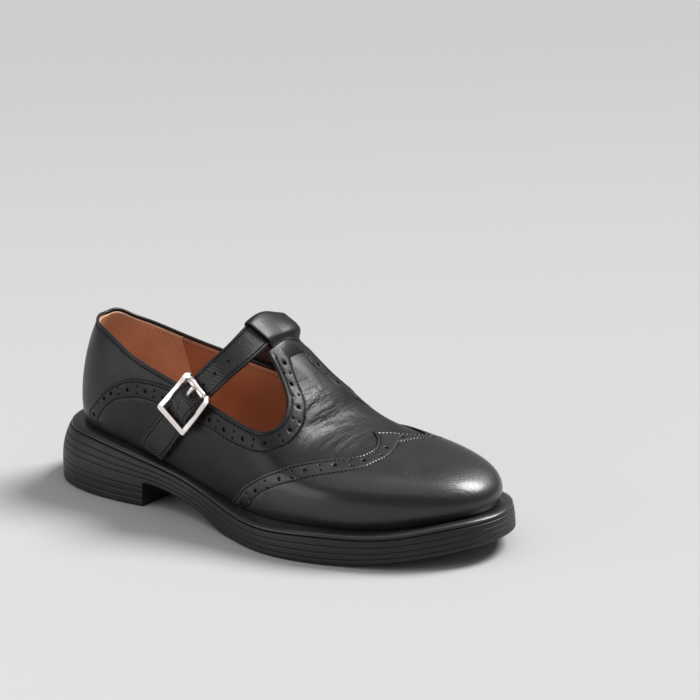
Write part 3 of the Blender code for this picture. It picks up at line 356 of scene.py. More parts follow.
# Creases across the vamp: share and height at the lateral end, share on the ridge, share and
# height at the medial end, then half width and depth.
CREASES = (
    (0.64, 0.42, 0.65, 0.655, 0.55, 8.5 * MM, 1.3 * MM),
    (0.634, 0.64, 0.65, 0.66, 0.8, 1.9 * MM, 0.34 * MM),
    (0.618, 0.66, 0.612, 0.612, 0.78, 2.1 * MM, 0.26 * MM),
    (0.604, 0.72, 0.594, 0.592, 0.82, 1.8 * MM, 0.2 * MM),
    (0.66, 0.58, 0.668, 0.676, 0.76, 2.4 * MM, 0.18 * MM),
    (0.712, 0.62, 0.703, 0.704, 0.86, 2.0 * MM, 0.26 * MM),
    (0.729, 0.68, 0.716, 0.714, 0.9, 1.8 * MM, 0.2 * MM),
    (0.672, 0.3, 0.69, 0.694, 0.5, 6.0 * MM, 0.35 * MM),
)
# How soon a crease turns towards the ridge, how it tapers, and the raised lips beside it: share of
# its depth, then place and width in half widths.
CREASE_TURN = 0.6
CREASE_TAPER = 0.7
CREASE_LIP = (0.45, 1.7, 0.8)

# The sleeve's section at the keeper: place across the strap, share of its rise over the strap's
# middle, and height off the upper, from under the T-bar over the strap and back below it.
SLEEVE_PATH = np.array([
    (-11.2, 0, -0.95), (-9.8, 0, -0.8), (-8.8, 0.1, -0.45), (-7.8, 0.4, -0.1), (-6.2, 0.75, 0),
    (-3.6, 0.95, 0), (0, 1.02, 0), (4, 1, 0), (7.2, 0.9, 0), (8.6, 0.5, 0), (9, 0, 0), (8.6, -0.5, 0),
    (7.2, -0.88, 0), (0, -1, 0), (-6.5, -1, 0), (-8.5, -0.95, -0.4), (-10.5, -0.8, -1),
]) * [MM, 1, MM]
# How far the sleeve's top rises, by the place along it, in millimetres.
SLEEVE_RISE = np.array([(-15, -11, -6, -1, 4, 9, 13), (0.9, 0.3, -0.35, -0.5, 0.3, 2.1, 3.6)]) * MM

# The row of stitches on the inner side of the brogued band, from the heel over the quarter and
# round the throat to the end of the T-bar, and the one on the wing cap.
BAND_ROW = (
    (0.109, -0.98), (0.109, -0.9), (0.117, -0.2), (0.137, 0.04), (0.168, 0.098), (0.202, 0.126),
    (0.243, 0.142), (0.28, 0.139), (0.345, 0.135), (0.414, 0.139), (0.448, 0.148), (0.476, 0.149),
    (0.522, 0.178), (0.564, 0.23), (0.593, 0.301), (0.624, 0.447), (0.631, 0.577), (0.624, 0.693),
    (0.608, 0.77), (0.582, 0.827), (0.551, 0.886), (0.538, 0.923),
)
BAND_ROW_MEDIAL_END = (0.537, 0.877)
GRIP_SEAM = ((0.164, 0.42), (0.17, 0.311), (0.176, 0.208), (0.188, 0.05), (0.192, -0.5), (0.192, -0.98))
WING_ROW_FOOT = ((0.545, -0.98), (0.556, -0.841), (0.569, -0.586), (0.586, -0.234))
WING_ROW_LATERAL = WING_ROW_FOOT + (
    (0.609, 0.026), (0.635, 0.111),
    (0.664, 0.216), (0.694, 0.315), (0.739, 0.454), (0.764, 0.521), (0.776, 0.554), (0.788, 0.611),
    (0.793, 0.687), (0.796, 0.74), (0.792, 0.845), (0.781, 0.947), (0.772, 1),
)
WING_ROW_MEDIAL = WING_ROW_FOOT + (
    (0.609, 0.024), (0.635, 0.102),
    (0.664, 0.196), (0.694, 0.28), (0.74, 0.395), (0.77, 0.46), (0.791, 0.51), (0.803, 0.565),
    (0.803, 0.62), (0.796, 0.679), (0.788, 0.78), (0.781, 0.87), (0.772, 1),
)


def lengths(points):
    """The distance along a line at each of its points."""
    return np.concatenate([[0], np.cumsum(np.linalg.norm(np.diff(points, axis=0), axis=1))])


def unit(vectors):
    return vectors / np.linalg.norm(vectors, axis=-1, keepdims=True)


def sampled(at, distance, points):
    """Points of a line at places along it, where its own points lie at the distances."""
    return np.stack([np.interp(at, distance, values) for values in np.transpose(points)], axis=1)


def polar(radius, turn):
    return radius * np.stack([np.cos(turn), np.sin(turn)], axis=1)


def circle(count):
    """Even angles round a circle."""
    return np.arange(count) / count * 2 * math.pi


def spline(knots, values, flat_ends=False):
    """A cubic through the values, natural at its ends or without slope there."""
    t = np.asarray(knots, float)
    v = np.asarray(values, float)
    h = np.diff(t)
    last = len(t) - 1
    a = np.eye(last + 1)
    b = np.zeros((last + 1,) + v.shape[1:])
    slope = (np.diff(v, axis=0).T / h).T
    for i in range(1, last):
        a[i, i - 1 : i + 2] = h[i - 1], 2 * (h[i - 1] + h[i]), h[i]
        b[i] = 6 * (slope[i] - slope[i - 1])
    if flat_ends:
        a[0, :2] = 2 * h[0], h[0]
        a[last, last - 1 :] = h[-1], 2 * h[-1]
        b[0] = 6 * slope[0]
        b[last] = -6 * slope[-1]
    bend = np.linalg.solve(a, b)

    def at(s):
        s = np.clip(np.asarray(s, float), t[0], t[-1])
        i = np.clip(np.searchsorted(t, s) - 1, 0, last - 1)
        shape = np.shape(s) + (1,) * (v.ndim - 1)
        p = (s - t[i]).reshape(shape)
        q = (t[i + 1] - s).reshape(shape)
        step = h[i].reshape(shape)
        curve = (bend[i] * q**3 + bend[i + 1] * p**3) / (6 * step)
        low = v[i] / step - bend[i] * step / 6
        high = v[i + 1] / step - bend[i + 1] * step / 6
        return curve + low * q + high * p

    return at


def angle(share):
    """The angle whose cosine runs evenly from the heel (0) to the toe (pi)."""
    return np.arccos(np.clip(1 - 2 * np.asarray(share, float), -1, 1))


def columns(table, over=angle):
    """A curve for each row of a table, by the share along the shoe."""
    knots = over(table["share"])
    return {name: spline(knots, table[name], True) for name in table if name != "share"}


SOLE = columns(SOLE_PLAN)
TOP = columns(SOLE_TOP, np.asarray)
UPPER = columns(UPPER_PLAN)
ARCH_LINE = spline(ARCH["run"], ARCH["rise"], flat_ends=True)
UPPER_LENGTH = SOLE_LENGTH - HEEL_LEDGE - TOE_LEDGE
UPPER_BALL = SOLE_BALL - 2 * WELT_LEDGE


def middle(x):
    """The shoe's own middle line, which swings to the medial side from the waist on."""
    u = np.clip((x / SOLE_LENGTH - SWING_START) / (1 - SWING_START), 0, 1)
    return SWING * u * u * (3 - 2 * u)


def sole_top(x):
    """The height of the sole's upper side."""
    share = x / SOLE_LENGTH
    seat = (HEEL_SEAT - FORE_THICKNESS) * TOP["seat"](share)
    return FORE_THICKNESS + seat + TOE_SPRING * TOP["spring"](share)


def slab_bottom(x):
    """The underside of the sole, carried on under the heel as the line where the block starts."""
    run = np.clip((ARCH_END - x) / (ARCH_END - HEEL_LENGTH), 0, 1)
    spring = np.clip((x - SPRING_START) / (SOLE_LENGTH - SPRING_START), 0, 1) ** SPRING_POWER
    behind = np.clip(1 - x / HEEL_LENGTH, 0, 1)
    return HEEL_BLOCK * ARCH_LINE(run) + HEEL_BLOCK_LIFT * behind + TOE_SPRING * spring


def outward(points):
    """Unit normals of a closed plan curve that runs anticlockwise."""
    along = unit(np.roll(points, -1, axis=0) - np.roll(points, 1, axis=0))
    return np.stack([along[:, 1], -along[:, 0]], axis=1)


def sole_plan():
    """The sole's outline, anticlockwise from the heel, with a column on the breast at each side."""
    breast = angle(HEEL_LENGTH / SOLE_LENGTH)
    heel = np.linspace(0, breast, HEEL_COLUMNS + 1)
    theta = np.concatenate([heel, np.linspace(breast, math.pi, SLAB_COLUMNS + 1)[1:]])
    x = SOLE_LENGTH * (1 - np.cos(theta)) / 2
    width = SOLE_BALL * np.sin(theta)
    lateral = np.stack([x, middle(x) - SOLE["lateral"](theta) * width], axis=1)
    medial = np.stack([x, middle(x) + SOLE["medial"](theta) * width], axis=1)
    theta = np.concatenate([theta, theta[-2:0:-1]])
    return np.concatenate([lateral, medial[-2:0:-1]]), theta


ROLLER_AT = BUCKLE_LENGTH / 2 - ROLLER_RADIUS
PLAN, PLAN_ANGLE = sole_plan()
ORIGIN = np.array([SOLE_LENGTH / 2, (PLAN[:, 1].min() + PLAN[:, 1].max()) / 2, 0])


def section(theta, psi, side):
    """A point on the closed form of the upper, from the widest line (0) to the ridge (90 degrees)."""
    x = HEEL_LEDGE + UPPER_LENGTH * (1 - np.cos(theta)) / 2
    ellipse = np.sin(theta)
    width = UPPER_BALL * ellipse * np.where(side < 0, UPPER["lateral"](theta), UPPER["medial"](theta))
    ridge = UPPER_BALL * ellipse * UPPER["ridge"](theta)
    rise = ellipse * (INSTEP_RISE * UPPER["instep"](theta) + TOE_RISE * UPPER["toe"](theta))
    full = 1 + UPPER["full"](theta) * np.sin(2 * psi) ** 2
    y = middle(x) + ridge + side * (width - side * ridge) * np.cos(psi) * full
    z = sole_top(x) + BULGE * UPPER["bulge"](theta) + rise * np.sin(psi) * full
    return np.stack([x, y, z], axis=-1)


def widest(turn):
    """The widest line, by its bearing from the toe (0) round the medial side to the heel (pi)."""
    side = np.where(np.sin(turn) < 0, LATERAL, MEDIAL)
    return section(np.arccos(np.clip(-np.cos(turn), -1, 1)), np.zeros_like(turn), side)


def surface(place):
    """The upper's outside at chart places: the ridge is at the middle, the widest line at
    radius 1 and the feather line, where the upper meets the sole, at radius 1 + SKIRT."""
    reach = np.hypot(place[:, 0], place[:, 1])
    turn = np.arctan2(place[:, 1], place[:, 0])
    up = np.clip(1 - reach, 0, 1) * math.pi / 2
    across = np.cos(up) * np.sin(turn)
    theta = np.arccos(np.clip(-np.cos(up) * np.cos(turn), -1, 1))
    psi = np.arctan2(np.sin(up), np.abs(across))
    points = section(theta, psi, np.where(across < 0, LATERAL, MEDIAL))
    below = np.clip(reach - 1, 0, None) / SKIRT
    along = widest(turn + NUDGE) - widest(turn - NUDGE)
    along /= np.linalg.norm(along[:, :2], axis=1, keepdims=True)
    inset = TUCK * below**2
    points[:, 0] -= inset * along[:, 1]
    points[:, 1] += inset * along[:, 0]
    points[:, 2] += (sole_top(points[:, 0]) + GAP - points[:, 2]) * below
    return points


def slopes(place):
    """How the upper's points move over a small step in both directions of the chart."""
    return [surface(place + step) - surface(place - step) for step in NUDGE * np.eye(2)]


def normals(place):
    return unit(np.cross(*slopes(place)))


def skin(place, lift):
    """Points that lie lift out from the upper's outside."""
    return surface(place) + normals(place) * np.broadcast_to(lift, len(place))[:, None]


def chart(rows, side):
    """Chart places of rows of share along the upper and height from feather (-1) to ridge (1)."""
    share, height = np.asarray(rows, float).T[:2]
    side = np.broadcast_to(np.asarray(side, float), share.shape)
    x = 2 * share - 1
    round_x = np.sqrt(np.clip(1 - x * x, 0, 1))
    psi = np.clip(height, 0, 1) * math.pi / 2
    y = side * round_x * np.cos(psi)
    reach = 1 - np.arcsin(np.clip(round_x * np.sin(psi), -1, 1)) / (math.pi / 2)
    reach = reach + SKIRT * np.clip(-height, 0, None)
    turn = np.arctan2(y, x)
    return np.stack([reach * np.cos(turn), reach * np.sin(turn)], axis=1)


def run(place, step=LINE_STEP):
    """A smooth line through chart places, cut about every step along the upper."""
    knots = lengths(surface(place))
    line = spline(knots, place)
    fine = np.linspace(0, knots[-1], 20 * len(place))
    length = lengths(surface(line(fine)))
    count = max(2, int(round(length[-1] / step)) + 1)
    return line(np.interp(np.linspace(0, length[-1], count), length, fine))


def inside(places, polygon):
    """Which places lie inside a closed chart polygon."""
    x, y = places[:, :1], places[:, 1:]
    ax, ay = polygon.T
    bx, by = np.roll(polygon, -1, axis=0).T
    crosses = (ay > y) != (by > y)
    safe = np.where(by == ay, 1, by - ay)
    return ((crosses & (x < ax + (y - ay) / safe * (bx - ax))).sum(axis=1) % 2).astype(bool)


def opening():
    """The edge of the collar, the two throats and the T-bar, as one closed chart line."""
    sides = [chart(LATERAL_OPENING[::-1], LATERAL), chart([BACK_TOP], MEDIAL), chart(MEDIAL_OPENING, MEDIAL)]
    edge = run(np.concatenate(sides))
    return np.concatenate([edge, run(edge[[-1, 0]])[1:-1]])


def wing():
    """The wing cap's rear edge, from the lateral side over the ridge to the medial side."""
    lateral = run(chart(WING_LATERAL, LATERAL))
    medial = run(chart(WING_MEDIAL, MEDIAL))
    return np.concatenate([lateral[:-1], [(lateral[-1] + medial[-1]) / 2], medial[-2::-1]])


def moved(place, want):
    """Chart places moved so that their points on the upper move by want."""
    steps = np.stack(slopes(place), axis=2) / (2 * NUDGE)
    square = np.einsum("nij,nik->njk", steps, steps)
    side = np.einsum("nij,ni->nj", steps, want)
    return place + np.linalg.solve(square, side[:, :, None])[:, :, 0]


def shifted(line, distance):
    """A chart line moved sideways along the upper, to the left of its direction."""
    sideways = unit(np.cross(normals(line), np.gradient(surface(line), axis=0)))
    return moved(line, sideways * distance)


def shifted_loop(line, distance):
    return shifted(np.concatenate([line[-2:], line, line[:2]]), distance)[2:-2]


def grid(step):
    """Chart places on even rings, to fill the upper between its edges."""
    turn = np.linspace(-math.pi, math.pi, 361)
    thin = step / ((UPPER_BALL + 2 * INSTEP_RISE) / 2)
    places = []
    for k, radius in enumerate([1.0, 1 + SKIRT / 2, *np.arange(1 - thin, 0.1, -thin)]):
        length = lengths(surface(polar(radius, turn)))
        count = max(6, int(round(length[-1] / step)))
        at = np.interp((np.arange(count) + k % 2 / 2) / count * length[-1], length, turn)
        places.append(polar(radius, at))
    return np.concatenate(places)


def strap_line():
    """Chart places by distance along the strap's middle, from the buckle towards the loop."""
    places = np.concatenate([chart([row], row[2]) for row in STRAP_LINE])[::-1]
    knots = lengths(surface(places))
    knots -= knots[STRAP_LINE[::-1].index(BUCKLE_PLACE)]
    return spline(knots, places), knots[0], knots[-1]


STRAP_PLACE, STRAP_LOW, STRAP_HIGH = strap_line()


def on_strap(s, b, lift):
    """Points at distance s along the strap's middle, b to its side and lift off the upper."""
    s, b, lift = (np.ravel(v).astype(float) for v in np.broadcast_arrays(s, b, lift))
    place = STRAP_PLACE(s)
    up = normals(place)
    within = np.clip(s, STRAP_LOW + NUDGE, STRAP_HIGH - NUDGE)
    ahead = surface(STRAP_PLACE(within + NUDGE)) - surface(STRAP_PLACE(within - NUDGE))
    return surface(place) + up * lift[:, None] + unit(np.cross(up, ahead)) * b[:, None]


def ease(at, knots, values):
    """Values that rest at each knot and pass smoothly from one to the next."""
    at = np.clip(at, knots[0], knots[-1])
    i = np.clip(np.searchsorted(knots, at) - 1, 0, len(knots) - 2)
    knots, values = np.asarray(knots), np.asarray(values)
    t = (at - knots[i]) / (knots[i + 1] - knots[i])
    return values[i] + (values[i + 1] - values[i]) * t * t * (3 - 2 * t)


def end_skew(s):
    """Skew that follows the feather line at both feet of the strap line."""
    near_low = np.clip(1 - (s - STRAP_LOW) / (3 * STRAP_WIDTH), 0, 1)
    near_high = np.clip(1 - (STRAP_HIGH - s) / (3 * STRAP_WIDTH), 0, 1)
    return END_SKEW * (near_high - near_low)


def strap_lift(s):
    """How far the strap's middle lies off the upper: it passes under both ends of the buckle
    and over the bar between them."""
    way = np.array(STRAP_LIFT["way"][::-1]) * (ROLLER_AT - STRAP_HIGH) + STRAP_HIGH
    lift = np.array(STRAP_LIFT["lift"][::-1]) * STRAP_THICKNESS
    over_bar = BAR_LIFT + BAR_RADIUS + TAB_THICKNESS + 2 * GAP + STRAP_THICKNESS / 2
    low_end = FRAME_WIDTH / 2 - BUCKLE_LENGTH / 2 + 1 * MM
    roller = (ROLLER_AT - 1 * MM, ROLLER_AT + ROLLER_RADIUS)
    knots = [-TAIL_LENGTH, low_end, -BAR_RADIUS, BAR_RADIUS, *roller, *way]
    return ease(s, knots, [STRAP_TAIL, STRAP_TAIL, over_bar, over_bar, STRAP_UNDER, STRAP_UNDER, *lift])


def nearest(points, targets):
    """The number of the target nearest to each point, and its distance."""
    tree = kdtree.KDTree(len(targets))
    for i, target in enumerate(targets):
        tree.insert(target, i)
    tree.balance()
    return np.array([tree.find(point)[1:] for point in points]).reshape(-1, 2).T


def distances(points, targets):
    return nearest(points, targets)[1]


def flat_space(places):
    return np.column_stack([places, np.zeros(len(places))])


def dense(line, space, step=0.12 * MM):
    """Points close together along a line."""
    points = space(line)
    length = lengths(points)
    return sampled(np.linspace(0, length[-1], int(length[-1] / step) + 2), length, points)


def traced(lines, space):
    return np.concatenate([dense(line, space) for line in lines])


def closed(line):
    return np.concatenate([line, line[:1]])


def in_loops(places, loops):
    """Which places lie in the first loop and outside the others."""
    kept = []
    for part in np.array_split(places, max(1, len(places) // 4000)):
        keep = inside(part, loops[0])
        for hole in loops[1:]:
            keep &= ~inside(part, hole)
        kept.append(keep)
    return np.concatenate(kept)


def part_of(faces, kept):
    """The numbers of the points that some faces use, and those faces over them."""
    used, index = np.unique(faces[kept], return_inverse=True)
    return used, index.reshape(-1, 3)


def triangles(loops, lines, fill, space, clear, stretch=(1.0, 1.0)):
    """Places and triangles over the first loop without the others, with points on all lines."""
    places, links = [], []
    for line, is_closed in [(loop, True) for loop in loops] + lines:
        start = len(places)
        places.extend(line.tolist())
        links += [(start + i, start + i + 1) for i in range(len(line) - 1)]
        if is_closed:
            links.append((start + len(line) - 1, start))
    fixed = np.array(places)
    fill = fill[in_loops(fill, loops)]
    fill = fill[distances(space(fill), space(fixed)) > clear]
    spots = (np.concatenate([fixed, fill]) * stretch).tolist()
    flat, _, faces, *_ = delaunay_2d_cdt(spots, links, [], 0, 1e-7)
    places = np.array([tuple(v) for v in flat]) / stretch
    faces = np.array(faces)
    used, index = part_of(faces, in_loops(places[faces].mean(axis=1), loops))
    return places[used], index


def placed(name, data, matrix=Matrix()):
    """A new object in the scene."""
    made = bpy.data.objects.new(name, data)
    bpy.context.scene.collection.objects.link(made)
    made.matrix_world = matrix
    return made


def piece(name, points, faces, look, nodes=(), sharp=40):
    """One object of the look, which rides on the shoe and stands for the named nodes."""
    slot, finish = LOOKS[look]
    mesh = bpy.data.meshes.new(name)
    mesh.from_pydata((np.asarray(points, float) - ORIGIN).tolist(), [], [list(map(int, f)) for f in faces])
    mesh.validate()
    made = placed(name, mesh)
    mesh.materials.append(finish)
    mesh.shade_smooth()
    mesh.set_sharp_from_angle(angle=math.radians(sharp))
    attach(made, "root")
    if nodes:
        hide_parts(*nodes)


def shell(name, faces, top, bottom, look, nodes=()):
    """A closed sheet between two layers of points that share their triangles."""
    count = len(top)
    sides = np.concatenate([faces[:, [0, 1]], faces[:, [1, 2]], faces[:, [2, 0]]])
    pairs = {tuple(pair) for pair in sides.tolist()}
    walls = [(a, a + count, b + count, b) for a, b in pairs if (b, a) not in pairs]
    made = faces.tolist() + (faces[:, ::-1] + count).tolist() + sorted(walls)
    piece(name, np.concatenate([top, bottom]), made, look, nodes)


def rolled(d, roll):
    """How far a rounded edge drops at a distance from it."""
    return roll - np.sqrt(np.clip(roll**2 - np.clip(roll - d, 0, None) ** 2, 0, None))


def sunk(at, edges, rows, holes):
    """How far the leather lies below its level: at rolled edges, stitch rows and punched holes."""
    drop = rolled(distances(at, edges), EDGE_ROLL)
    if len(rows):
        drop += ROW_DEPTH * np.clip(1 - (distances(at, rows) / ROW_HALF) ** 2, 0, 1)
    for centres, radius in holes:
        drop += np.interp(distances(at, centres) - radius, *HOLE_SHAPE)
    return drop


def hole_rings(groups):
    """Rings of points round the punched holes on the upper, and their middles."""
    lines = []
    for centres, radius in groups:
        count = BIG_HOLE_SIDES if radius == BIG_HOLE else SMALL_HOLE_SIDES
        turn = circle(count)[:, None]
        up = normals(centres)
        ahead = unit(np.cross([0.0, 1.0, 0.0], up))
        aside = np.cross(up, ahead)
        for size in (radius - HOLE_LIP, radius, radius + HOLE_FADE):
            for i, centre in enumerate(centres):
                want = size * (np.cos(turn) * ahead[i] + np.sin(turn) * aside[i])
                lines.append((moved(np.repeat(centre[None], count, axis=0), want), True))
        lines += [(centre[None], False) for centre in centres]
    return lines


def places_at(line, stops):
    """Places on a chart line at distances from its start."""
    length = lengths(surface(line))
    return sampled(stops[stops < length[-1]], length, line)


def brogue(line, stops):
    """Big holes along a band's middle, with a pair of small ones between those that leave room."""
    between = ((stops[1:] + stops[:-1]) / 2)[np.diff(stops) > PAIR_ROOM]
    fine = run(line)
    pairs = []
    for side in (-PAIR_HALF, PAIR_HALF):
        beside = shifted(fine, side)
        for place in surface(places_at(line, between)):
            pairs.append(beside[np.linalg.norm(surface(fine) - place, axis=1).argmin()])
    return places_at(line, stops), np.array(pairs)


def punched(bands, stops, loop, free):
    """The places of big and small holes on some bands, inside a loop and clear of its free edges."""
    found = [brogue(band, stops) for band in bands]
    groups = []
    for k, radius in enumerate((BIG_HOLE, SMALL_HOLE)):
        places = np.concatenate([pair[k] for pair in found])
        places = places[inside(places, loop)]
        away = distances(surface(places), traced(free, surface))
        groups.append((places[away > radius + HOLE_ROOM], radius))
    return groups


def ring_faces(below, above):
    count = len(below)
    return [(below[i], below[(i + 1) % count], above[(i + 1) % count], above[i]) for i in range(count)]


def lofted(count, sides, around=False):
    """The numbers of points that lie in rings, and the quads between each ring and the next."""
    number = np.arange(count * sides).reshape(count, sides)
    rows = [*number, number[0]] if around else [*number]
    return number, [face for low, high in zip(rows[:-1], rows[1:]) for face in ring_faces(low, high)]


def rod_faces(count, sides):
    number, faces = lofted(count, sides)
    return faces + [number[0][::-1], number[-1]]


def stitches(name, rows, look="thread"):
    """Raised threads along rows of points with their normals."""
    turn = circle(THREAD_SIDES)[:, None]
    stops, girth, sink = np.array(THREAD_SHAPE).T
    thread = rod_faces(len(stops), THREAD_SIDES)
    points, faces = [], []
    for line, up in rows:
        length = lengths(line)
        count = max(1, int(length[-1] / STITCH_PITCH))
        for at in (np.arange(count) + 0.5) / count * length[-1]:
            centre = sampled(at + stops * STITCH_LENGTH / 2, length, line)
            out = unit(sampled([at], length, up)[0])
            aside = np.cross(out, unit(centre[-1] - centre[0]))
            round_it = girth[:, None, None] * (np.cos(turn) * aside + np.sin(turn) * out)
            body = centre[:, None] + STITCH_RADIUS * (sink[:, None, None] * out + round_it)
            faces += [np.add(face, len(points) * body[..., 0].size) for face in thread]
            points.append(body.reshape(-1, 3))
    piece(name, np.concatenate(points), faces, look, sharp=180)


def on_upper(line, lift):
    """Points and normals of a stitch row on the upper."""
    fine = run(line)
    return skin(fine, lift), normals(fine)


def plug(tree, node, inputs):
    """Sets each named input of a node to a number, or links it to another node's output."""
    for name, value in inputs.items():
        if isinstance(value, bpy.types.NodeSocket):
            tree.links.new(value, node.inputs[name])
        else:
            node.inputs[name].default_value = value


def wired(tree, kind, inputs, **settings):
    """A new node with its settings and inputs; gives its outputs."""
    node = tree.nodes.new("ShaderNode" + kind)
    for name, value in settings.items():
        setattr(node, name, value)
    plug(tree, node, inputs)
    return node.outputs


def material(name, colour, roughness, tint=0.0, spread=0.0, coat=0.0, metallic=0.0, grain=(), shine=0.5):
    """A finish with noise in its colour and gloss, and bump layers of kind, scale, stretch and depth,
    which may fade out round a place."""
    made = bpy.data.materials.new(name)
    made.use_nodes = True
    made.diffuse_color = (*colour, 1)
    tree = made.node_tree
    shader = tree.nodes["Principled BSDF"]
    place = wired(tree, "TexCoord", {})["Object"]
    plug(tree, shader, {
        "Base Color": (*colour, 1), "Roughness": roughness, "Metallic": metallic, "Coat Weight": coat,
        "Coat Roughness": COAT_ROUGHNESS, "Specular IOR Level": shine,
    })

    def cloudy(scale, detail, low, high):
        """Soft noise between two values."""
        value = wired(tree, "TexNoise", {"Scale": scale, "Detail": detail, "Vector": place})["Fac"]
        limits = {"From Min": CLOUD_LOW, "From Max": CLOUD_HIGH, "To Min": low, "To Max": high}
        return wired(tree, "MapRange", {"Value": value, **limits})["Result"]

    if tint:
        mix = wired(tree, "Mix", {
            "A": (*[c * (1 - tint) for c in colour], 1), "B": (*[min(1, c * (1 + tint)) for c in colour], 1),
            "Factor": cloudy(*TINT_CLOUD, 0.0, 1.0),
        }, data_type="RGBA")
        plug(tree, shader, {"Base Color": mix["Result"]})
    if spread:
        plug(tree, shader, {"Roughness": cloudy(*GLOSS_CLOUD, roughness - spread, roughness + spread)})
    normal = {}
    for kind, scale, (stretch, turn), depth, *region in grain:
        rotation = [math.radians(a) for a in turn]
        vector = wired(tree, "Mapping", {"Rotation": rotation, "Scale": stretch, "Vector": place})["Vector"]
        size = {"Scale": scale, "Vector": vector}
        if kind == "cells":
            height = wired(tree, "TexVoronoi", size, feature="SMOOTH_F1")["Distance"]
        elif kind == "lines":
            height = wired(tree, "TexWave", {**size, **WAVY})["Fac"]
        else:
            height = wired(tree, "TexNoise", {**size, "Detail": 4.0})["Fac"]
        for middle, reach in region:
            near = wired(tree, "Mapping", {
                "Location": [-m / r for m, r in zip(middle, reach)], "Scale": [1 / r for r in reach],
                "Vector": place})["Vector"]
            ball = wired(tree, "TexGradient", {"Vector": near}, gradient_type="SPHERICAL")["Fac"]
            height = wired(tree, "Math", {0: ball, 1: height}, operation="MULTIPLY")["Value"]
        bump = wired(tree, "Bump", {"Strength": 1.0, "Distance": depth, "Height": height, **normal})
        normal = {"Normal": bump["Normal"]}
    plug(tree, shader, normal)
    return made


def finishes():
    """Each finish with the name of its slot."""
    fine = (("cells", 1100.0, EVEN, 0.05 * MM), ("noise", 420.0, EVEN, 0.08 * MM))
    hatch = (("lines", 400.0, ((1, 1, 1), (0, 38, 30)), 0.035 * MM),)
    cross = (("lines", 340.0, ((1, 1, 1), (0, 45, -84)), 0.10 * MM),
             ("noise", 900.0, ((0.12, 1, 1), (0, 0, -8)), 0.16 * MM))
    flex = ((0.036, -0.006, 0.062), (0.034, 0.036, 0.030))
    wrinkles = (("noise", 330.0, ((1.0, 0.16, 0.16), (0, 0, 10)), 1.0 * MM, flex),
                ("noise", 150.0, ((1.0, 0.25, 0.25), (0, 0, -14)), 1.6 * MM, flex))
    nap = (("noise", 330.0, EVEN, 0.25 * MM), ("cells", 900.0, EVEN, 0.06 * MM))
    twist = (("noise", 3000.0, EVEN, 0.03 * MM),)
    moulded = (("noise", 1500.0, EVEN, 0.03 * MM), ("noise", 150.0, EVEN, 0.10 * MM))
    smooth = (("noise", 700.0, EVEN, 0.05 * MM),)
    brushed = (("noise", 260.0, EVEN, 0.03 * MM),)
    # Slot, name, colour, roughness, tint, spread, coat, metallic, grain and shine
    table = {
        "vamp": ("black_leather", "black_leather_vamp",
                 (0.0130, 0.0115, 0.0135), 0.40, 0.3, 0.08, 0.04, 0, fine + wrinkles, 0.25),
        "black": ("black_leather", "black_leather_fine",
                  (0.0125, 0.0112, 0.0130), 0.42, 0.3, 0.06, 0.10, 0, fine, 0.28),
        # The cap's base colour is darker than the rest of the black leather: painted shade for the dark toe.
        # Its higher gloss and coat are its own polish.
        "cap": ("black_leather", "black_leather_cap",
                (0.0075, 0.0066, 0.0080), 0.39, 0.3, 0.04, 0.36, 0, fine + hatch, 0.50),
        "strap": ("black_leather", "black_leather_strap",
                  (0.0100, 0.0090, 0.0105), 0.42, 0.3, 0.06, 0.10, 0, cross, 0.34),
        "glossy": ("glossy_leather", "black_leather_glossy",
                   (0.014, 0.013, 0.014), 0.38, 0.2, 0.06, 0.08, 0, fine, 0.20),
        "tan": ("tan_leather", "tan_lining", (0.43, 0.175, 0.090), 0.50, 0.14, 0.06, 0, 0, fine, 0.35),
        "suede": ("tan_leather", "tan_heel_grip", (0.64, 0.36, 0.23), 0.60, 0.14, 0.06, 0, 0, nap, 0.3),
        "thread": ("black_leather", "black_thread", (0.003, 0.003, 0.003), 0.9, 0, 0, 0, 0, twist, 0.03),
        "tan_thread": ("tan_leather", "tan_thread", (0.16, 0.055, 0.028), 0.6, 0, 0, 0, 0, twist),
        "rubber": ("sole_rubber", "sole_rubber_fine",
                   (0.012, 0.0115, 0.012), 0.48, 0.15, 0.06, 0, 0, moulded, 0.42),
        "rand": ("rand_rubber", "rand_rubber_fine", (0.014, 0.014, 0.015), 0.36, 0.12, 0.05, 0.2, 0, smooth),
        "polished": ("bright_nickel", "bright_nickel_round", (0.86, 0.81, 0.78), 0.25, 0, 0, 0, 1),
        "nickel": ("bright_nickel", "bright_nickel_fine",
                   (0.88, 0.82, 0.79), 0.18, 0.04, 0.04, 0, 1, brushed),
    }
    return {look: (slot, material(*values)) for look, (slot, *values) in table.items()}


def towards(azimuth, elevation):
    """The direction from the shoe to a bearing and height, in degrees."""
    azimuth, elevation = math.radians(azimuth), math.radians(elevation)
    level = math.cos(elevation)
    return Vector((math.sin(azimuth) * level, -math.cos(azimuth) * level, math.sin(elevation)))


def facing(direction):
    """The turn of a camera or light that looks back along a direction."""
    return direction.to_track_quat("Z", "Y").to_matrix().to_4x4()


def camera():
    """The photograph's camera."""
    back = towards(CAMERA_BEARING, CAMERA_HEIGHT)
    roll = Matrix.Rotation(-math.radians(CAMERA_ROLL), 4, "Z")
    data = bpy.data.cameras.new("camera")
    data.sensor_fit = "HORIZONTAL"
    data.angle = math.radians(CAMERA_LENS)
    place = Matrix.Translation(CAMERA_AIM + back * CAMERA_DISTANCE)
    bpy.context.scene.camera = placed("camera", data, place @ facing(back) @ roll)


def softbox(name, azimuth, elevation, distance, size, power):
    """A square soft light that shines on the shoe from a bearing and height."""
    back = towards(azimuth, elevation)
    data = bpy.data.lights.new(name, "AREA")
    data.shape = "RECTANGLE"
    data.size, data.size_y = size
    data.energy = power
    placed(name, data, Matrix.Translation(LIGHT_AIM + back * distance) @ facing(back))


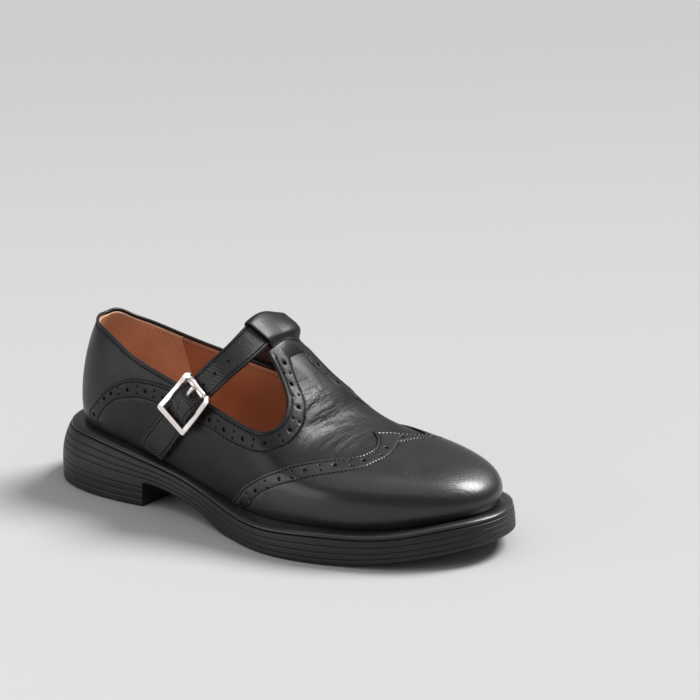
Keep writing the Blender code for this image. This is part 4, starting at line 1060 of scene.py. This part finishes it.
def paper():
    """The pale floor, with painted shade that darkens it a little with the distance behind the shoe."""
    made = material("floor_paper", FLOOR_NEAR[:3], 0.8)
    tree = made.node_tree
    place = wired(tree, "TexCoord", {})["Object"]
    turned = wired(tree, "Mapping", {"Rotation": (0, 0, math.radians(FLOOR_SHADE_TURN)), "Vector": place})["Vector"]
    fade = wired(tree, "TexGradient", {"Vector": turned})["Fac"]
    mix = wired(tree, "Mix", {"A": FLOOR_NEAR, "B": FLOOR_FAR_PAINTED_SHADE, "Factor": fade}, data_type="RGBA")["Result"]
    plug(tree, tree.nodes["Principled BSDF"], {"Base Color": mix})
    return made


def studio():
    """A pale floor under a soft sun, two soft lights and a dim even sky."""
    scene = bpy.context.scene
    scene.world = bpy.data.worlds.new("studio")
    scene.world.use_nodes = True
    tree = scene.world.node_tree
    plug(tree, tree.nodes["Background"], {"Color": WORLD_COLOUR, "Strength": WORLD_STRENGTH})
    data = bpy.data.lights.new("key", "SUN")
    data.energy = KEY_STRENGTH
    data.angle = math.radians(KEY_ANGLE)
    placed("key", data, facing(towards(*KEY_FROM)))
    for light in SOFT_LIGHTS:
        softbox(*light)
    mesh = bpy.data.meshes.new("floor")
    corners = [(x * FLOOR_REACH, y * FLOOR_REACH, 0) for x, y in ((-1, -1), (1, -1), (1, 1), (-1, 1))]
    mesh.from_pydata(corners, [], [(0, 1, 2, 3)])
    floor = placed("floor", mesh)
    mesh.materials.append(paper())
    scene.view_settings.view_transform = "Standard"


def joints(distance):
    """Both heel arcs moved towards the heel and cut at the topline, with the topline's
    numbers where they end."""
    edge = opening()
    arcs, ends = [], []
    for side, sign in ((LATERAL, 1), (MEDIAL, -1)):
        arc = shifted(run(chart(HEEL_ARC, side)), sign * distance)
        arc[0] *= (1 + SKIRT) / np.linalg.norm(arc[0])
        arc = arc[: int(np.argmax(inside(arc, edge)))]
        near = np.linalg.norm(surface(edge) - surface(arc[-1:]), axis=1).argmin()
        gap = np.linalg.norm(surface(arc) - surface(edge[near][None]), axis=1)
        arcs.append(arc[gap > 0.6 * LINE_STEP])
        ends.append(int(near))
    return edge, arcs, ends


def feather_part(low, high, step=1.3 * LINE_STEP):
    """Places on the feather line, where the upper meets the sole, between two bearings."""
    turn = np.linspace(low, high, 400)
    length = lengths(surface(polar(1 + SKIRT, turn)))
    return polar(1 + SKIRT, np.interp(np.linspace(0, length[-1], int(length[-1] / step))[1:-1], length, turn))


def bearing(place):
    return math.atan2(place[1], place[0])


def seated(places, lift):
    """Points off the upper's outside, with those of the feather line on the sole."""
    points = skin(places, lift)
    low = np.hypot(*places.T) > 1 + 0.999 * SKIRT
    points[low, 2] = sole_top(points[low, 0]) + GAP
    return points


def kept_in(line, loop, margin=0.3 * MM):
    """The part of a line that lies inside a loop, clear of its edge."""
    line = line[inside(line, loop)]
    return line[distances(surface(line), dense(closed(loop), surface, 0.3 * MM)) > margin]


def band_rows():
    """The inner stitch row of the brogued band on both sides, and across the T-bar's end."""
    lateral = run(chart(BAND_ROW, LATERAL))
    medial = run(chart(BAND_ROW[:-1] + (BAND_ROW_MEDIAL_END,), MEDIAL))
    return lateral, medial, run(np.stack([lateral[-1], medial[-1]]))


def binding(at, topline, rise):
    """How far the binding of the topline stands up."""
    return np.interp(distances(at, dense(topline, surface)), BINDING_EDGE, [rise, 0])


def panel(name, look, nodes, loop, free, rows, shape, level=0.0, groups=(), bound=()):
    """A leather panel over a chart loop, and its stitches. It has rolled edges along the free lines,
    stitch rows and punched holes. shape gives what is added to its level and its underside, from
    the points and the roll of its lower edge."""
    lines = []
    for line, side in free:
        beside = [shifted(line, side * share * EDGE_ROLL) for share in ROLL_SHARES]
        lines += [(kept_in(row, loop, EDGE_MARGIN), False) for row in beside]
    inner = [shifted(line, d) for line in bound for d in BINDING_EDGE]
    for row in rows:
        inner += [row, shifted(row, ROW_HALF), shifted(row, -ROW_HALF)]
    lines += [(kept_in(line, loop), False) for line in inner] + hole_rings(groups)
    places, faces = triangles([loop], lines, grid(FINE_STEP), surface, FILL_ROOM * FINE_STEP, STRETCH)
    at = surface(places)
    edges = traced([line for line, _ in free], surface)
    holes = [(surface(centres), radius) for centres, radius in groups]
    rise, under = shape(at, rolled(distances(at, edges), UNDER_ROLL))
    top = level + rise - sunk(at, edges, traced(rows, surface), holes)
    shell(name, faces, seated(places, top), seated(places, under), look, nodes)
    threads = [on_upper(row, level + THREAD_LEVEL) for row in rows]
    stitches(name.split("_")[0] + "_stitches", threads)


def vamp():
    """The vamp with its quarters and T-bar, one panel from the toe back to the heel arcs."""
    edge, (lateral, medial), (low, high) = joints(0.0)
    topline = np.concatenate([edge[high:], edge[: low + 1]])
    front = feather_part(bearing(lateral[0]), bearing(medial[0]))
    loop = np.concatenate([topline, lateral[::-1], front, medial])
    bar_end = dense(chart([LATERAL_OPENING[-1], MEDIAL_OPENING[-1]], (LATERAL, MEDIAL)), surface)
    edge_row = kept_in(shifted(topline, TOPLINE_ROW), loop)
    near = np.flatnonzero(distances(surface(edge_row), bar_end) < BAR_END_ROOM)
    bands = [kept_in(row, loop) for row in band_rows()]
    rows = [
        edge_row[: near[0]], edge_row[near[-1] + 1 :], kept_in(shifted(lateral, -EDGE_ROW), loop),
        kept_in(shifted(medial, EDGE_ROW), loop), *bands,
    ]
    middles = [shifted(band, side * (BAND_MIDDLE - EDGE_ROW)) for band, side in zip(bands, (1, -1))]
    groups = punched(middles, BAND_HOLES, loop, [topline, lateral, medial])

    def shape(at, roll):
        """The binding fades at the T-bar's end; the underside is thinner over the heel piece."""
        bound = binding(at, topline, BINDING_RISE) * np.clip(distances(at, bar_end) / (2 * BINDING) - 1, 0, 1)
        over_heel = distances(at, traced([lateral, medial], surface)) < UNDERLAP + HEEL_CLEAR
        return bound + folds(at), roll - np.where(over_heel, SKIN_THICKNESS, SHELL_THICKNESS)

    free = ((topline, 1), (lateral, -1), (medial, 1))
    panel("vamp", "vamp", ("upper",), loop, free, rows, shape, 0.0, groups, [topline])


def heel_piece():
    """The heel panel, which lies under the quarters' edges."""
    edge, (lateral, medial), (low, high) = joints(-UNDERLAP)
    topline = edge[low : high + 1]
    back = feather_part(bearing(medial[0]), bearing(lateral[0]) + 2 * math.pi)
    loop = np.concatenate([topline, medial[::-1], back, lateral])
    rows = [kept_in(shifted(topline, TOPLINE_ROW), loop)]

    def shape(at, roll):
        return binding(at, topline, 2 * BINDING_RISE), roll - SHELL_THICKNESS

    level = -SKIN_THICKNESS - TUCKED
    panel("heel_piece", "black", (), loop, [(topline, 1)], rows, shape, level, (), [topline])


def folds(at):
    """How far the flex of the foot has pressed the vamp in or raised it."""
    out = np.zeros(len(at))
    lip, beside, width = CREASE_LIP
    for share, height, ridge, far_share, far_height, half, depth in CREASES:
        lateral = [(share, height), (share + CREASE_TURN * (ridge - share), (1 + height) / 2)]
        medial_turn = (ridge + CREASE_TURN * (far_share - ridge), (1 + far_height) / 2)
        medial = [(ridge, 0.999), medial_turn, (far_share, far_height)]
        points = surface(run(np.concatenate([chart(lateral, LATERAL), chart(medial, MEDIAL)])))
        number, gap = nearest(at, points)
        d = gap / half
        taper = np.sin(math.pi * np.clip(number / (len(points) - 1), 0.02, 0.98)) ** CREASE_TAPER
        out -= depth * taper * (np.exp(-d**2) - lip * np.exp(-((d - beside) / width) ** 2))
    return out


def wing_cap():
    """The wing cap over the toe, with its brogued band."""
    line = wing()
    front = feather_part(bearing(line[0]), bearing(line[-1]))
    loop = np.concatenate([line[::-1], front])
    lateral = run(chart(WING_ROW_LATERAL, LATERAL))
    medial = run(chart(WING_ROW_MEDIAL, MEDIAL))
    inner = np.concatenate([lateral, medial[-2::-1]])
    rows = [kept_in(shifted(line, -EDGE_ROW), loop), kept_in(inner, loop)]
    half = len(line) // 2
    bands = [shifted(line[: half + 1], -BAND_MIDDLE), shifted(line[:half:-1], BAND_MIDDLE)]
    groups = punched(bands, WING_HOLES, loop, [line])

    def shape(at, roll):
        return 0.0, np.full(len(at), CAP_CLEAR)

    panel("wing_cap", "cap", ("toe_cap",), loop, [(line, -1)], rows, shape, GAP + CAP_THICKNESS, groups)


def lining():
    """The tan lining, its lighter heel grip behind a seam, and the row of stitches below its edge."""
    edge = shifted_loop(opening(), LINING_DROP)
    base = feather_part(-math.pi, math.pi, 2 * LINE_STEP)
    rows = [(shifted_loop(edge, d), True) for d in (0.1 * MM, 0.5 * MM)]
    for side in (LATERAL, MEDIAL):
        seam = run(chart(GRIP_SEAM, side), 1.5 * LINE_STEP)
        rows.append((seam[~inside(seam, edge) & (np.hypot(*seam.T) < 1 + 0.97 * SKIRT)], False))
    places, faces = triangles([base, edge], rows, grid(LINING_STEP), surface, 1.0 * MM, STRETCH)
    at = surface(places)
    away = distances(at, dense(closed(edge), surface))
    roll = rolled(away, LINING_ROLL)
    wave = np.sin(at[:, 2] / RUCK_RISE + 3 * np.sin(at[:, 0] / RUCK_RUN))
    ruck = RUCK * wave * np.clip(away / RUCK_FULL, 0, 1)
    line = surface(chart(GRIP_SEAM, MEDIAL))[::-1]
    middle = at[faces].mean(axis=1)
    behind = middle[:, 0] < np.interp(middle[:, 2], line[:, 2], line[:, 0])
    parts = (("lining", "tan", ~behind, 0 * ruck), ("heel_grip", "suede", behind, GRIP_RISE - ruck))
    for name, look, kept, rise in parts:
        used, index = part_of(faces, kept)
        outer = seated(places[used], (-SHELL_THICKNESS - TUCKED - roll)[used])
        inner = seated(places[used], (roll - WALL - HEEL_STEP - rise)[used])
        shell(name, index, outer, inner, look)
    row = shifted_loop(edge, LINING_ROW)
    seam_x = 2 * GRIP_SEAM[0][0] - 1
    threads = []
    for part in np.split(row, np.flatnonzero(np.diff(row[:, 0] > seam_x)) + 1):
        if len(part) > 4 and part[:, 0].mean() > seam_x:
            threads.append((skin(part, -WALL - HEEL_STEP - TAN_THREAD_LEVEL), -normals(part)))
    stitches("lining_stitches", threads, "tan_thread")


def evenly(line, step=LINE_STEP):
    """A flat line cut about every step, with its corners kept."""
    points = [line[:1]]
    for a, b in zip(line[:-1], line[1:]):
        count = max(1, int(round(np.linalg.norm(b - a) / step)))
        points.append(a + (b - a) * (np.arange(1, count + 1) / count)[:, None])
    return np.concatenate(points)


def round_corners(low, high, half, radii, count):
    """The corner arcs of a rectangle from low to high along and half to each side, anticlockwise."""
    arcs = []
    for k, (t, b) in enumerate(((high, half), (low, half), (low, -half), (high, -half))):
        centre = [t, b] - radii[k] * np.sign([t - (low + high) / 2, b])
        arcs.append(centre + polar(radii[k], (k + np.linspace(0, 1, count)) * math.pi / 2))
    return arcs


def ribbon_path(path, skew):
    """A function from places along and across a strap to points, at a height off its middle."""
    length = lengths(path)
    ahead = unit(np.gradient(path, axis=0))

    def at(places, out):
        t, b = places.T
        values = (*path.T, *ahead.T, skew)
        s, lift, along_s, along_lift, lean = (np.interp(t, length, v) for v in values)
        return on_strap(s - along_lift * out + lean * b, b, lift + along_s * out)

    return at, length[-1]


def ribbon(name, look, nodes, path, skew, thickness, sewn, ends=(), pins=(), slots=(), step=STRAP_STEP):
    """A strap with rolled edges, pinholes and slots, along a path of distance and lift. It is sewn
    along both sides between two distances, and across at the ends."""
    at, long = ribbon_path(path, skew)
    half = STRAP_WIDTH / 2
    side = half - EDGE_ROW
    rows = [[[sewn[0], b], [sewn[1], b]] for b in (-side, side)]
    rows += [[[end, -side], [end, side]] for end in ends]
    rows = [evenly(np.array(row)) for row in rows]

    def outline(inset):
        """The strap's edge moved in, with round corners."""
        radii = [max(0.2 * MM, STRAP_CORNER - inset)] * 4
        points = closed(np.concatenate(round_corners(inset, long - inset, half - inset, radii, 4)))
        size = lengths(points)
        spots = np.unique(np.concatenate([size, np.linspace(0, size[-1], int(size[-1] / LINE_STEP))]))
        return sampled(spots, size, points)[:-1]

    loops = [outline(0.0)] + [evenly(closed(slot))[:-1] for slot in slots]
    lines = [(outline(d * EDGE_ROLL), True) for d in ROLL_SHARES]
    pins = np.array(pins).reshape(-1, 2)
    for size in (PINHOLE - HOLE_LIP, PINHOLE, PINHOLE + HOLE_FADE):
        lines += [(pin + polar(size, circle(PINHOLE_SIDES)), True) for pin in pins]
    lines += [(pin[None], False) for pin in pins]
    for row in rows:
        aside = [0, 1] if abs(row[0, 0] - row[-1, 0]) > 1e-9 else [1, 0]
        lines += [(row + np.multiply(aside, b), False) for b in (-ROW_HALF, 0, ROW_HALF)]
    t = np.arange(step / 2, long, step)
    b = np.linspace(-half, half, int(STRAP_WIDTH / step) + 1)[1:-1]
    fill = np.stack(np.meshgrid(t, b, indexing="ij"), axis=-1).reshape(-1, 2)
    places, faces = triangles(loops, lines, fill, flat_space, 0.5 * step)
    edges = traced([closed(loop) for loop in loops], flat_space)
    holes = [(flat_space(pins), PINHOLE)] if len(pins) else []
    drop = sunk(flat_space(places), edges, traced(rows, flat_space), holes)
    top = at(places, thickness / 2 - drop)
    bottom = at(places, -thickness / 2 + rolled(distances(flat_space(places), edges), STRAP_UNDER_ROLL))
    shell(name, faces, top, bottom, look, nodes)
    threads = []
    for row in rows:
        low = at(row, thickness / 2 + THREAD_LEVEL)
        threads.append((low, at(row, thickness / 2 + 1 * MM) - low))
    stitches(name.split("_")[0] + "_stitches", threads)


def strap():
    """The instep strap from its foot through the keeper and the buckle to its tail."""
    near = np.arange(-TAIL_LENGTH, ROLLER_AT + 6 * MM, 0.8 * MM)
    s = np.concatenate([near, np.linspace(ROLLER_AT + 6.5 * MM, STRAP_HIGH, 160)])
    path = np.stack([s, strap_lift(s)], axis=1)
    tail = np.interp(s, [-TAIL_LENGTH, -TAIL_LENGTH / 2], [-TAIL_SKEW, 0])
    skew = np.where(s > 0, end_skew(s), tail)
    length = lengths(path)
    pins = [(np.interp(PRONG_HOLE + k * PINHOLE_PITCH, s, length), 0.0) for k in range(-1, 4)]
    sewn = (EDGE_ROW, length[-1] - 1 * MM)
    ribbon("strap_leather", "strap", ("strap",), path, skew, STRAP_THICKNESS, sewn, (EDGE_ROW,), pins)


def tab_path():
    """The tab's path from its foot up and round the bar, and the distances where it leaves and ends."""
    flat = GAP + TAB_THICKNESS / 2
    wrap = BAR_RADIUS + GAP + TAB_THICKNESS / 2
    foot = np.column_stack([np.linspace(STRAP_LOW, -TAB_RISE - 2 * MM, 8), [flat] * 8])
    rise = np.array(TAB_SHAPE) * [TAB_RISE, BAR_LIFT + wrap - flat] + [0, flat]
    round_bar = polar(wrap, np.linspace(math.pi / 2, -math.pi / 2, 9)) + [0, BAR_LIFT]
    back = np.array([[-0.5 * TAB_RETURN, BAR_LIFT - wrap], [-TAB_RETURN, BAR_LIFT - wrap - 0.2 * MM]])
    knots = np.concatenate([foot, rise, round_bar, back])
    length = lengths(knots)
    at = np.linspace(0, length[-1], int(length[-1] / (0.4 * MM)))
    return sampled(at, length, knots), length[len(foot) + len(rise) - 2], length[-1]


def tab():
    """The tab that holds the buckle's bar, with a slot for the prong."""
    path, bar_from, bar_to = tab_path()
    skew = np.where(path[:, 0] < -TAB_RISE, end_skew(path[:, 0]), 0)
    half = SLOT_WIDTH / 2
    low, high = bar_from - 1 * MM, bar_to - 1 * MM
    slots = [np.array([[low, -half], [high, -half], [high, half], [low, half]])]
    sewn = (1 * MM, bar_from - 2 * MM)
    ribbon("tab_leather", "black", ("buckle_tab",), path, skew, TAB_THICKNESS, sewn,
           slots=slots, step=TAB_STEP)


def rod(name, look, path, radius, sides, nodes=()):
    """A round rod along a path of points, with a radius at each."""
    ahead = unit(np.gradient(path, axis=0))
    aside = unit(np.cross(ahead, ROD_UP))
    up = np.cross(aside, ahead)
    turn = circle(sides)[:, None]
    out = np.cos(turn) * aside[:, None] + np.sin(turn) * up[:, None]
    points = (path[:, None] + radius[:, None, None] * out).reshape(-1, 3)
    piece(name, points, rod_faces(len(path), sides), look, nodes)


def rim_loop(inset):
    """A rounded rectangle inside the buckle's outline, with the same count of points at any inset."""
    radii = [max(corner - inset, 0.15 * MM) for corner in RIM_CORNERS]
    along = RIM_LENGTH / 2 - inset
    arcs = round_corners(-along, along, RIM_BREADTH / 2 - inset, radii, 8)
    out = []
    for arc, following in zip(arcs, arcs[1:] + arcs[:1]):
        out += [arc, arc[-1] + (following[0] - arc[-1]) * (np.arange(1, 16) / 16)[:, None]]
    return np.concatenate(out)


def rim():
    """The bright flat rim with bevelled edges, whose far side is the roller's axle."""
    thick, wide = RIM_THICKNESS / 2, RIM_WIDTH
    profile = ((0, -thick + BEVEL), (0, thick - BEVEL), (BEVEL, thick), (wide - BEVEL, thick),
               (wide, thick - BEVEL), (wide, -thick + BEVEL), (wide - BEVEL, -thick), (BEVEL, -thick))
    side_middle = (RIM_LENGTH - RIM_WIDTH) / 2
    rings = []
    for inset, rise in profile:
        s, b = rim_loop(inset).T
        out = np.clip(np.abs(s) / (BUCKLE_LENGTH / 2 - RIM_WIDTH), 0, 1)
        lift = FRAME_LIFT - RIM_DIP * (1 - out**2)
        inside_roller = np.interp(np.abs(b), [ROLLER_LENGTH / 2, ROLLER_LENGTH / 2 + AXLE_END], [1, 0])
        axle = (s > ROLLER_AT - RIM_WIDTH) * inside_roller
        s = s + axle * (ROLLER_AT + (s - side_middle) * AXLE_WIDTH - s)
        rings.append(on_strap(s - BUCKLE_LEAN * b, b, lift + rise * (1 - (1 - AXLE_THICKNESS) * axle)))
    _, faces = lofted(len(rings), len(rings[0]), around=True)
    piece("buckle_rim", np.concatenate(rings), faces, "nickel", ("buckle_frame",), 25)


def prong():
    """The prong with its eye round the bar, over the strap to the roller."""
    eye = BAR_RADIUS + PRONG_RADIUS + 0.7 * GAP
    ring = polar(eye, np.linspace(0.25, 1.75, 16) * math.pi) + [0, BAR_LIFT]
    top = FRAME_LIFT + ROLLER_RADIUS + PRONG_RADIUS + GAP
    rise = [((ROLLER_AT if over else PRONG_HOLE) + s * MM, share * top) for over, s, share in PRONG_SHAPE]
    path = np.concatenate([ring, rise])
    size = lengths(path)
    way = np.linspace(0, 1, PRONG_RINGS)
    s, lift = spline(size, path)(way * size[-1]).T
    radius = np.interp(way, *PRONG_GIRTH) * PRONG_RADIUS
    rod("prong_pin", "nickel", on_strap(s, 0.0, lift), radius, 14, ("buckle_prong",))


def buckle():
    """The rim, the bar between its sides, the roller and the prong."""
    rim()
    reach = np.linspace(-0.5, 0.5, 9) * (BUCKLE_WIDTH - FRAME_WIDTH)
    bar = on_strap(-BUCKLE_LEAN * reach, reach, BAR_LIFT)
    rod("buckle_bar", "nickel", bar, np.full(len(bar), BAR_RADIUS), 16)
    reach, girth = np.array(ROLLER_SHAPE).T
    reach = reach * ROLLER_LENGTH / 2
    tube = on_strap(ROLLER_AT - BUCKLE_LEAN * reach, reach, FRAME_LIFT)
    for end in (0, -1):
        tube[end] += (tube[end] - tube[4]) * 1e-4
    rod("roller_tube", "polished", tube, girth * ROLLER_RADIUS, 28, ("buckle_roller",))
    prong()


def keeper():
    """The keeper at the end of the T-bar: a soft wide leather sleeve round the strap, whose front
    runs in under the T-bar."""
    reach = STRAP_THICKNESS / 2 + 2 * GAP + SLEEVE / 2
    knots = lengths(SLEEVE_PATH * [1, reach, 1])
    b, share, lift = spline(knots, SLEEVE_PATH)(np.linspace(0, knots[-1], SLEEVE_POINTS)).T
    lip = (1 - np.linspace(-1, 1, SLEEVE_POINTS) ** 40).clip(0.1, 1)[:, None] ** 0.5
    ends = [-SLEEVE_LATERAL, SLEEVE_LIP - SLEEVE_LATERAL, SLEEVE_MEDIAL - SLEEVE_LIP, SLEEVE_MEDIAL]
    rings = []
    for s in np.linspace(-SLEEVE_LATERAL, SLEEVE_MEDIAL, SLEEVE_RINGS):
        level = strap_lift(LOOP_AT + s) + spline(*SLEEVE_RISE)(s) * (share > 0)
        path = np.column_stack([b, share * reach + lift + np.clip(np.abs(share), 0, 1) * level])
        out = unit(np.gradient(path, axis=0)[:, ::-1] * [-1, 1])
        half = SLEEVE / 2 * np.interp(s, ends, [LIP_SHARE, 1, 1, LIP_SHARE]) * lip
        ring = np.concatenate([path + out * half, (path - out * half)[::-1]])
        rings.append(on_strap(LOOP_AT + s, *ring.T))
    count = len(rings[0])
    number, faces = lofted(len(rings), count)
    for row, order in ((number[0], -1), (number[-1], 1)):
        for i in range(count // 2 - 1):
            faces.append([row[i], row[i + 1], row[count - 2 - i], row[count - 1 - i]][::order])
    piece("keeper_sleeve", np.concatenate(rings), faces, "glossy", ("t_bar_loop",), 60)


def side_inset(theta, x, z):
    """How far the sole's side leans in at a height."""
    share = np.clip((z / sole_top(x) - LEAN_START) / (1 - LEAN_START), 0, 1)
    return HEEL_LEAN * SOLE["lean"](theta) * share**LEAN_POWER


def plan_row(inset, z):
    """The sole's outline at a height, moved in."""
    z = np.broadcast_to(z, len(PLAN))
    places = PLAN - outward(PLAN) * (inset + side_inset(PLAN_ANGLE, PLAN[:, 0], z))[:, None]
    return np.column_stack([places, z])


def across(row, first, last):
    """Faces that close a row of the sole from side to side, between two of its columns."""
    count = len(row)
    corners = [[i, i + 1, count - i - 1, (count - i) % count] for i in range(first, last)]
    return [[row[k] for k in dict.fromkeys(face)] for face in corners]


def rib_rows(low, high, shares):
    """Plan rows between two heights: soft ribs parted by a fine groove at each share."""
    rows = []
    for share, following in zip(shares, (*shares[1:], 1.0)):
        z = low + (high - low) * share
        rows += [plan_row(GROOVE_DEPTH * depth, z + out * GROOVE_HALF) for out, depth in GROOVE_SHAPE]
        rows.append(plan_row(0, low + (high - low) * (share + following) / 2))
    return rows


def sole():
    """The ribbed sole with its arch and heel block, as one body."""
    x = PLAN[:, 0]
    bottom = slab_bottom(x)
    shelf = sole_top(x) - WELT_HEIGHT
    heel = x <= HEEL_LENGTH + 1e-6
    slab, block = [], []
    for turn in np.linspace(0, 0.5, 5) * math.pi:
        inset = EDGE_ROUND * (1 - math.sin(turn))
        rise = EDGE_ROUND * (1 - math.cos(turn))
        slab.append(plan_row(np.where(heel, 0, inset), bottom + np.where(heel, 0.2 * rise, rise)))
        block.append(plan_row(inset, rise))
    slab += rib_rows(bottom, shelf, SLAB_GROOVES)
    slab.append(plan_row(0, shelf - 2.5 * GROOVE_HALF))
    slab.append(plan_row(0.1 * GROOVE_DEPTH, shelf - GROOVE_HALF))
    slab.append(plan_row(GROOVE_DEPTH, shelf))
    plateau = plan_row(WELT_WIDTH + GAP, shelf)
    slab.append(plateau.copy())
    plateau[:, 2] = sole_top(plateau[:, 0])
    slab.append(plateau)
    block += rib_rows(0, bottom, HEEL_GROOVES)
    block += [plan_row(GROOVE_DEPTH * depth, bottom + out * GROOVE_HALF) for out, depth in GROOVE_SHAPE[:3]]
    count = len(x)
    rows = np.arange(count * len(slab + block)).reshape(-1, count)
    tip = HEEL_COLUMNS + SLAB_COLUMNS
    _, faces = lofted(len(slab), count)
    faces += across(rows[len(slab) - 1], 0, tip)
    faces += across(rows[0], HEEL_COLUMNS, tip)
    wall = [*rows[len(slab):], rows[0]]
    one, other = HEEL_COLUMNS, count - HEEL_COLUMNS
    for low, high in zip(wall[:-1], wall[1:]):
        quads = ring_faces(low, high)
        faces += [quads[i] for i in range(count) if heel[i] and heel[(i + 1) % count]]
        faces.append((low[one], low[other], high[other], high[one]))
    faces += across(wall[0], 0, HEEL_COLUMNS)
    used = sorted({v for face in faces for v in face})
    number = {v: i for i, v in enumerate(used)}
    points = np.concatenate(slab + block)[used]
    piece("sole_body", points, [[number[v] for v in face] for face in faces], "rubber", ("outsole",))


def rand():
    """The round rubber bead that stands on the sole's edge."""
    shelf = sole_top(PLAN[:, 0]) - WELT_HEIGHT + GAP
    height = WELT_HEIGHT - GAP
    inner = plan_row(WELT_WIDTH, shelf)
    rows = [inner, plan_row(0.25 * WELT_ROUND, shelf)]
    for turn in np.linspace(BEAD_START, 0.5, BEAD_ROWS) * math.pi:
        inset = WELT_ROUND * (1 - math.cos(turn) ** BEAD_SQUARE) * (1 if turn > 0 else BEAD_UNDER)
        above = (1 - BEAD_WIDEST) * max(0, math.sin(turn)) ** BEAD_SQUARE
        share = BEAD_WIDEST + above + BEAD_WIDEST * min(0, math.sin(turn))
        rows.append(plan_row(inset, shelf + height * share))
    on_top = [plan_row(inset, shelf + height) for inset in (1.08 * WELT_ROUND, WELT_WIDTH / 2)]
    for row in (rows.pop(), *on_top, inner.copy()):
        row[:, 2] = sole_top(row[:, 0])
        rows.append(row)
    _, faces = lofted(len(rows), len(PLAN), around=True)
    piece("rand_bead", np.concatenate(rows), faces, "rand", ("welt",))


def sock():
    """The insole keeps its solid and gets the fine tan leather."""
    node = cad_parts["insole"]
    node.data.materials.clear()
    node.data.materials.append(LOOKS["tan"][1])


LOOKS = finishes()
camera()
studio()
for make in (sole, rand, sock, lining, heel_piece, vamp, wing_cap, strap, tab, keeper, buckle):
    make()
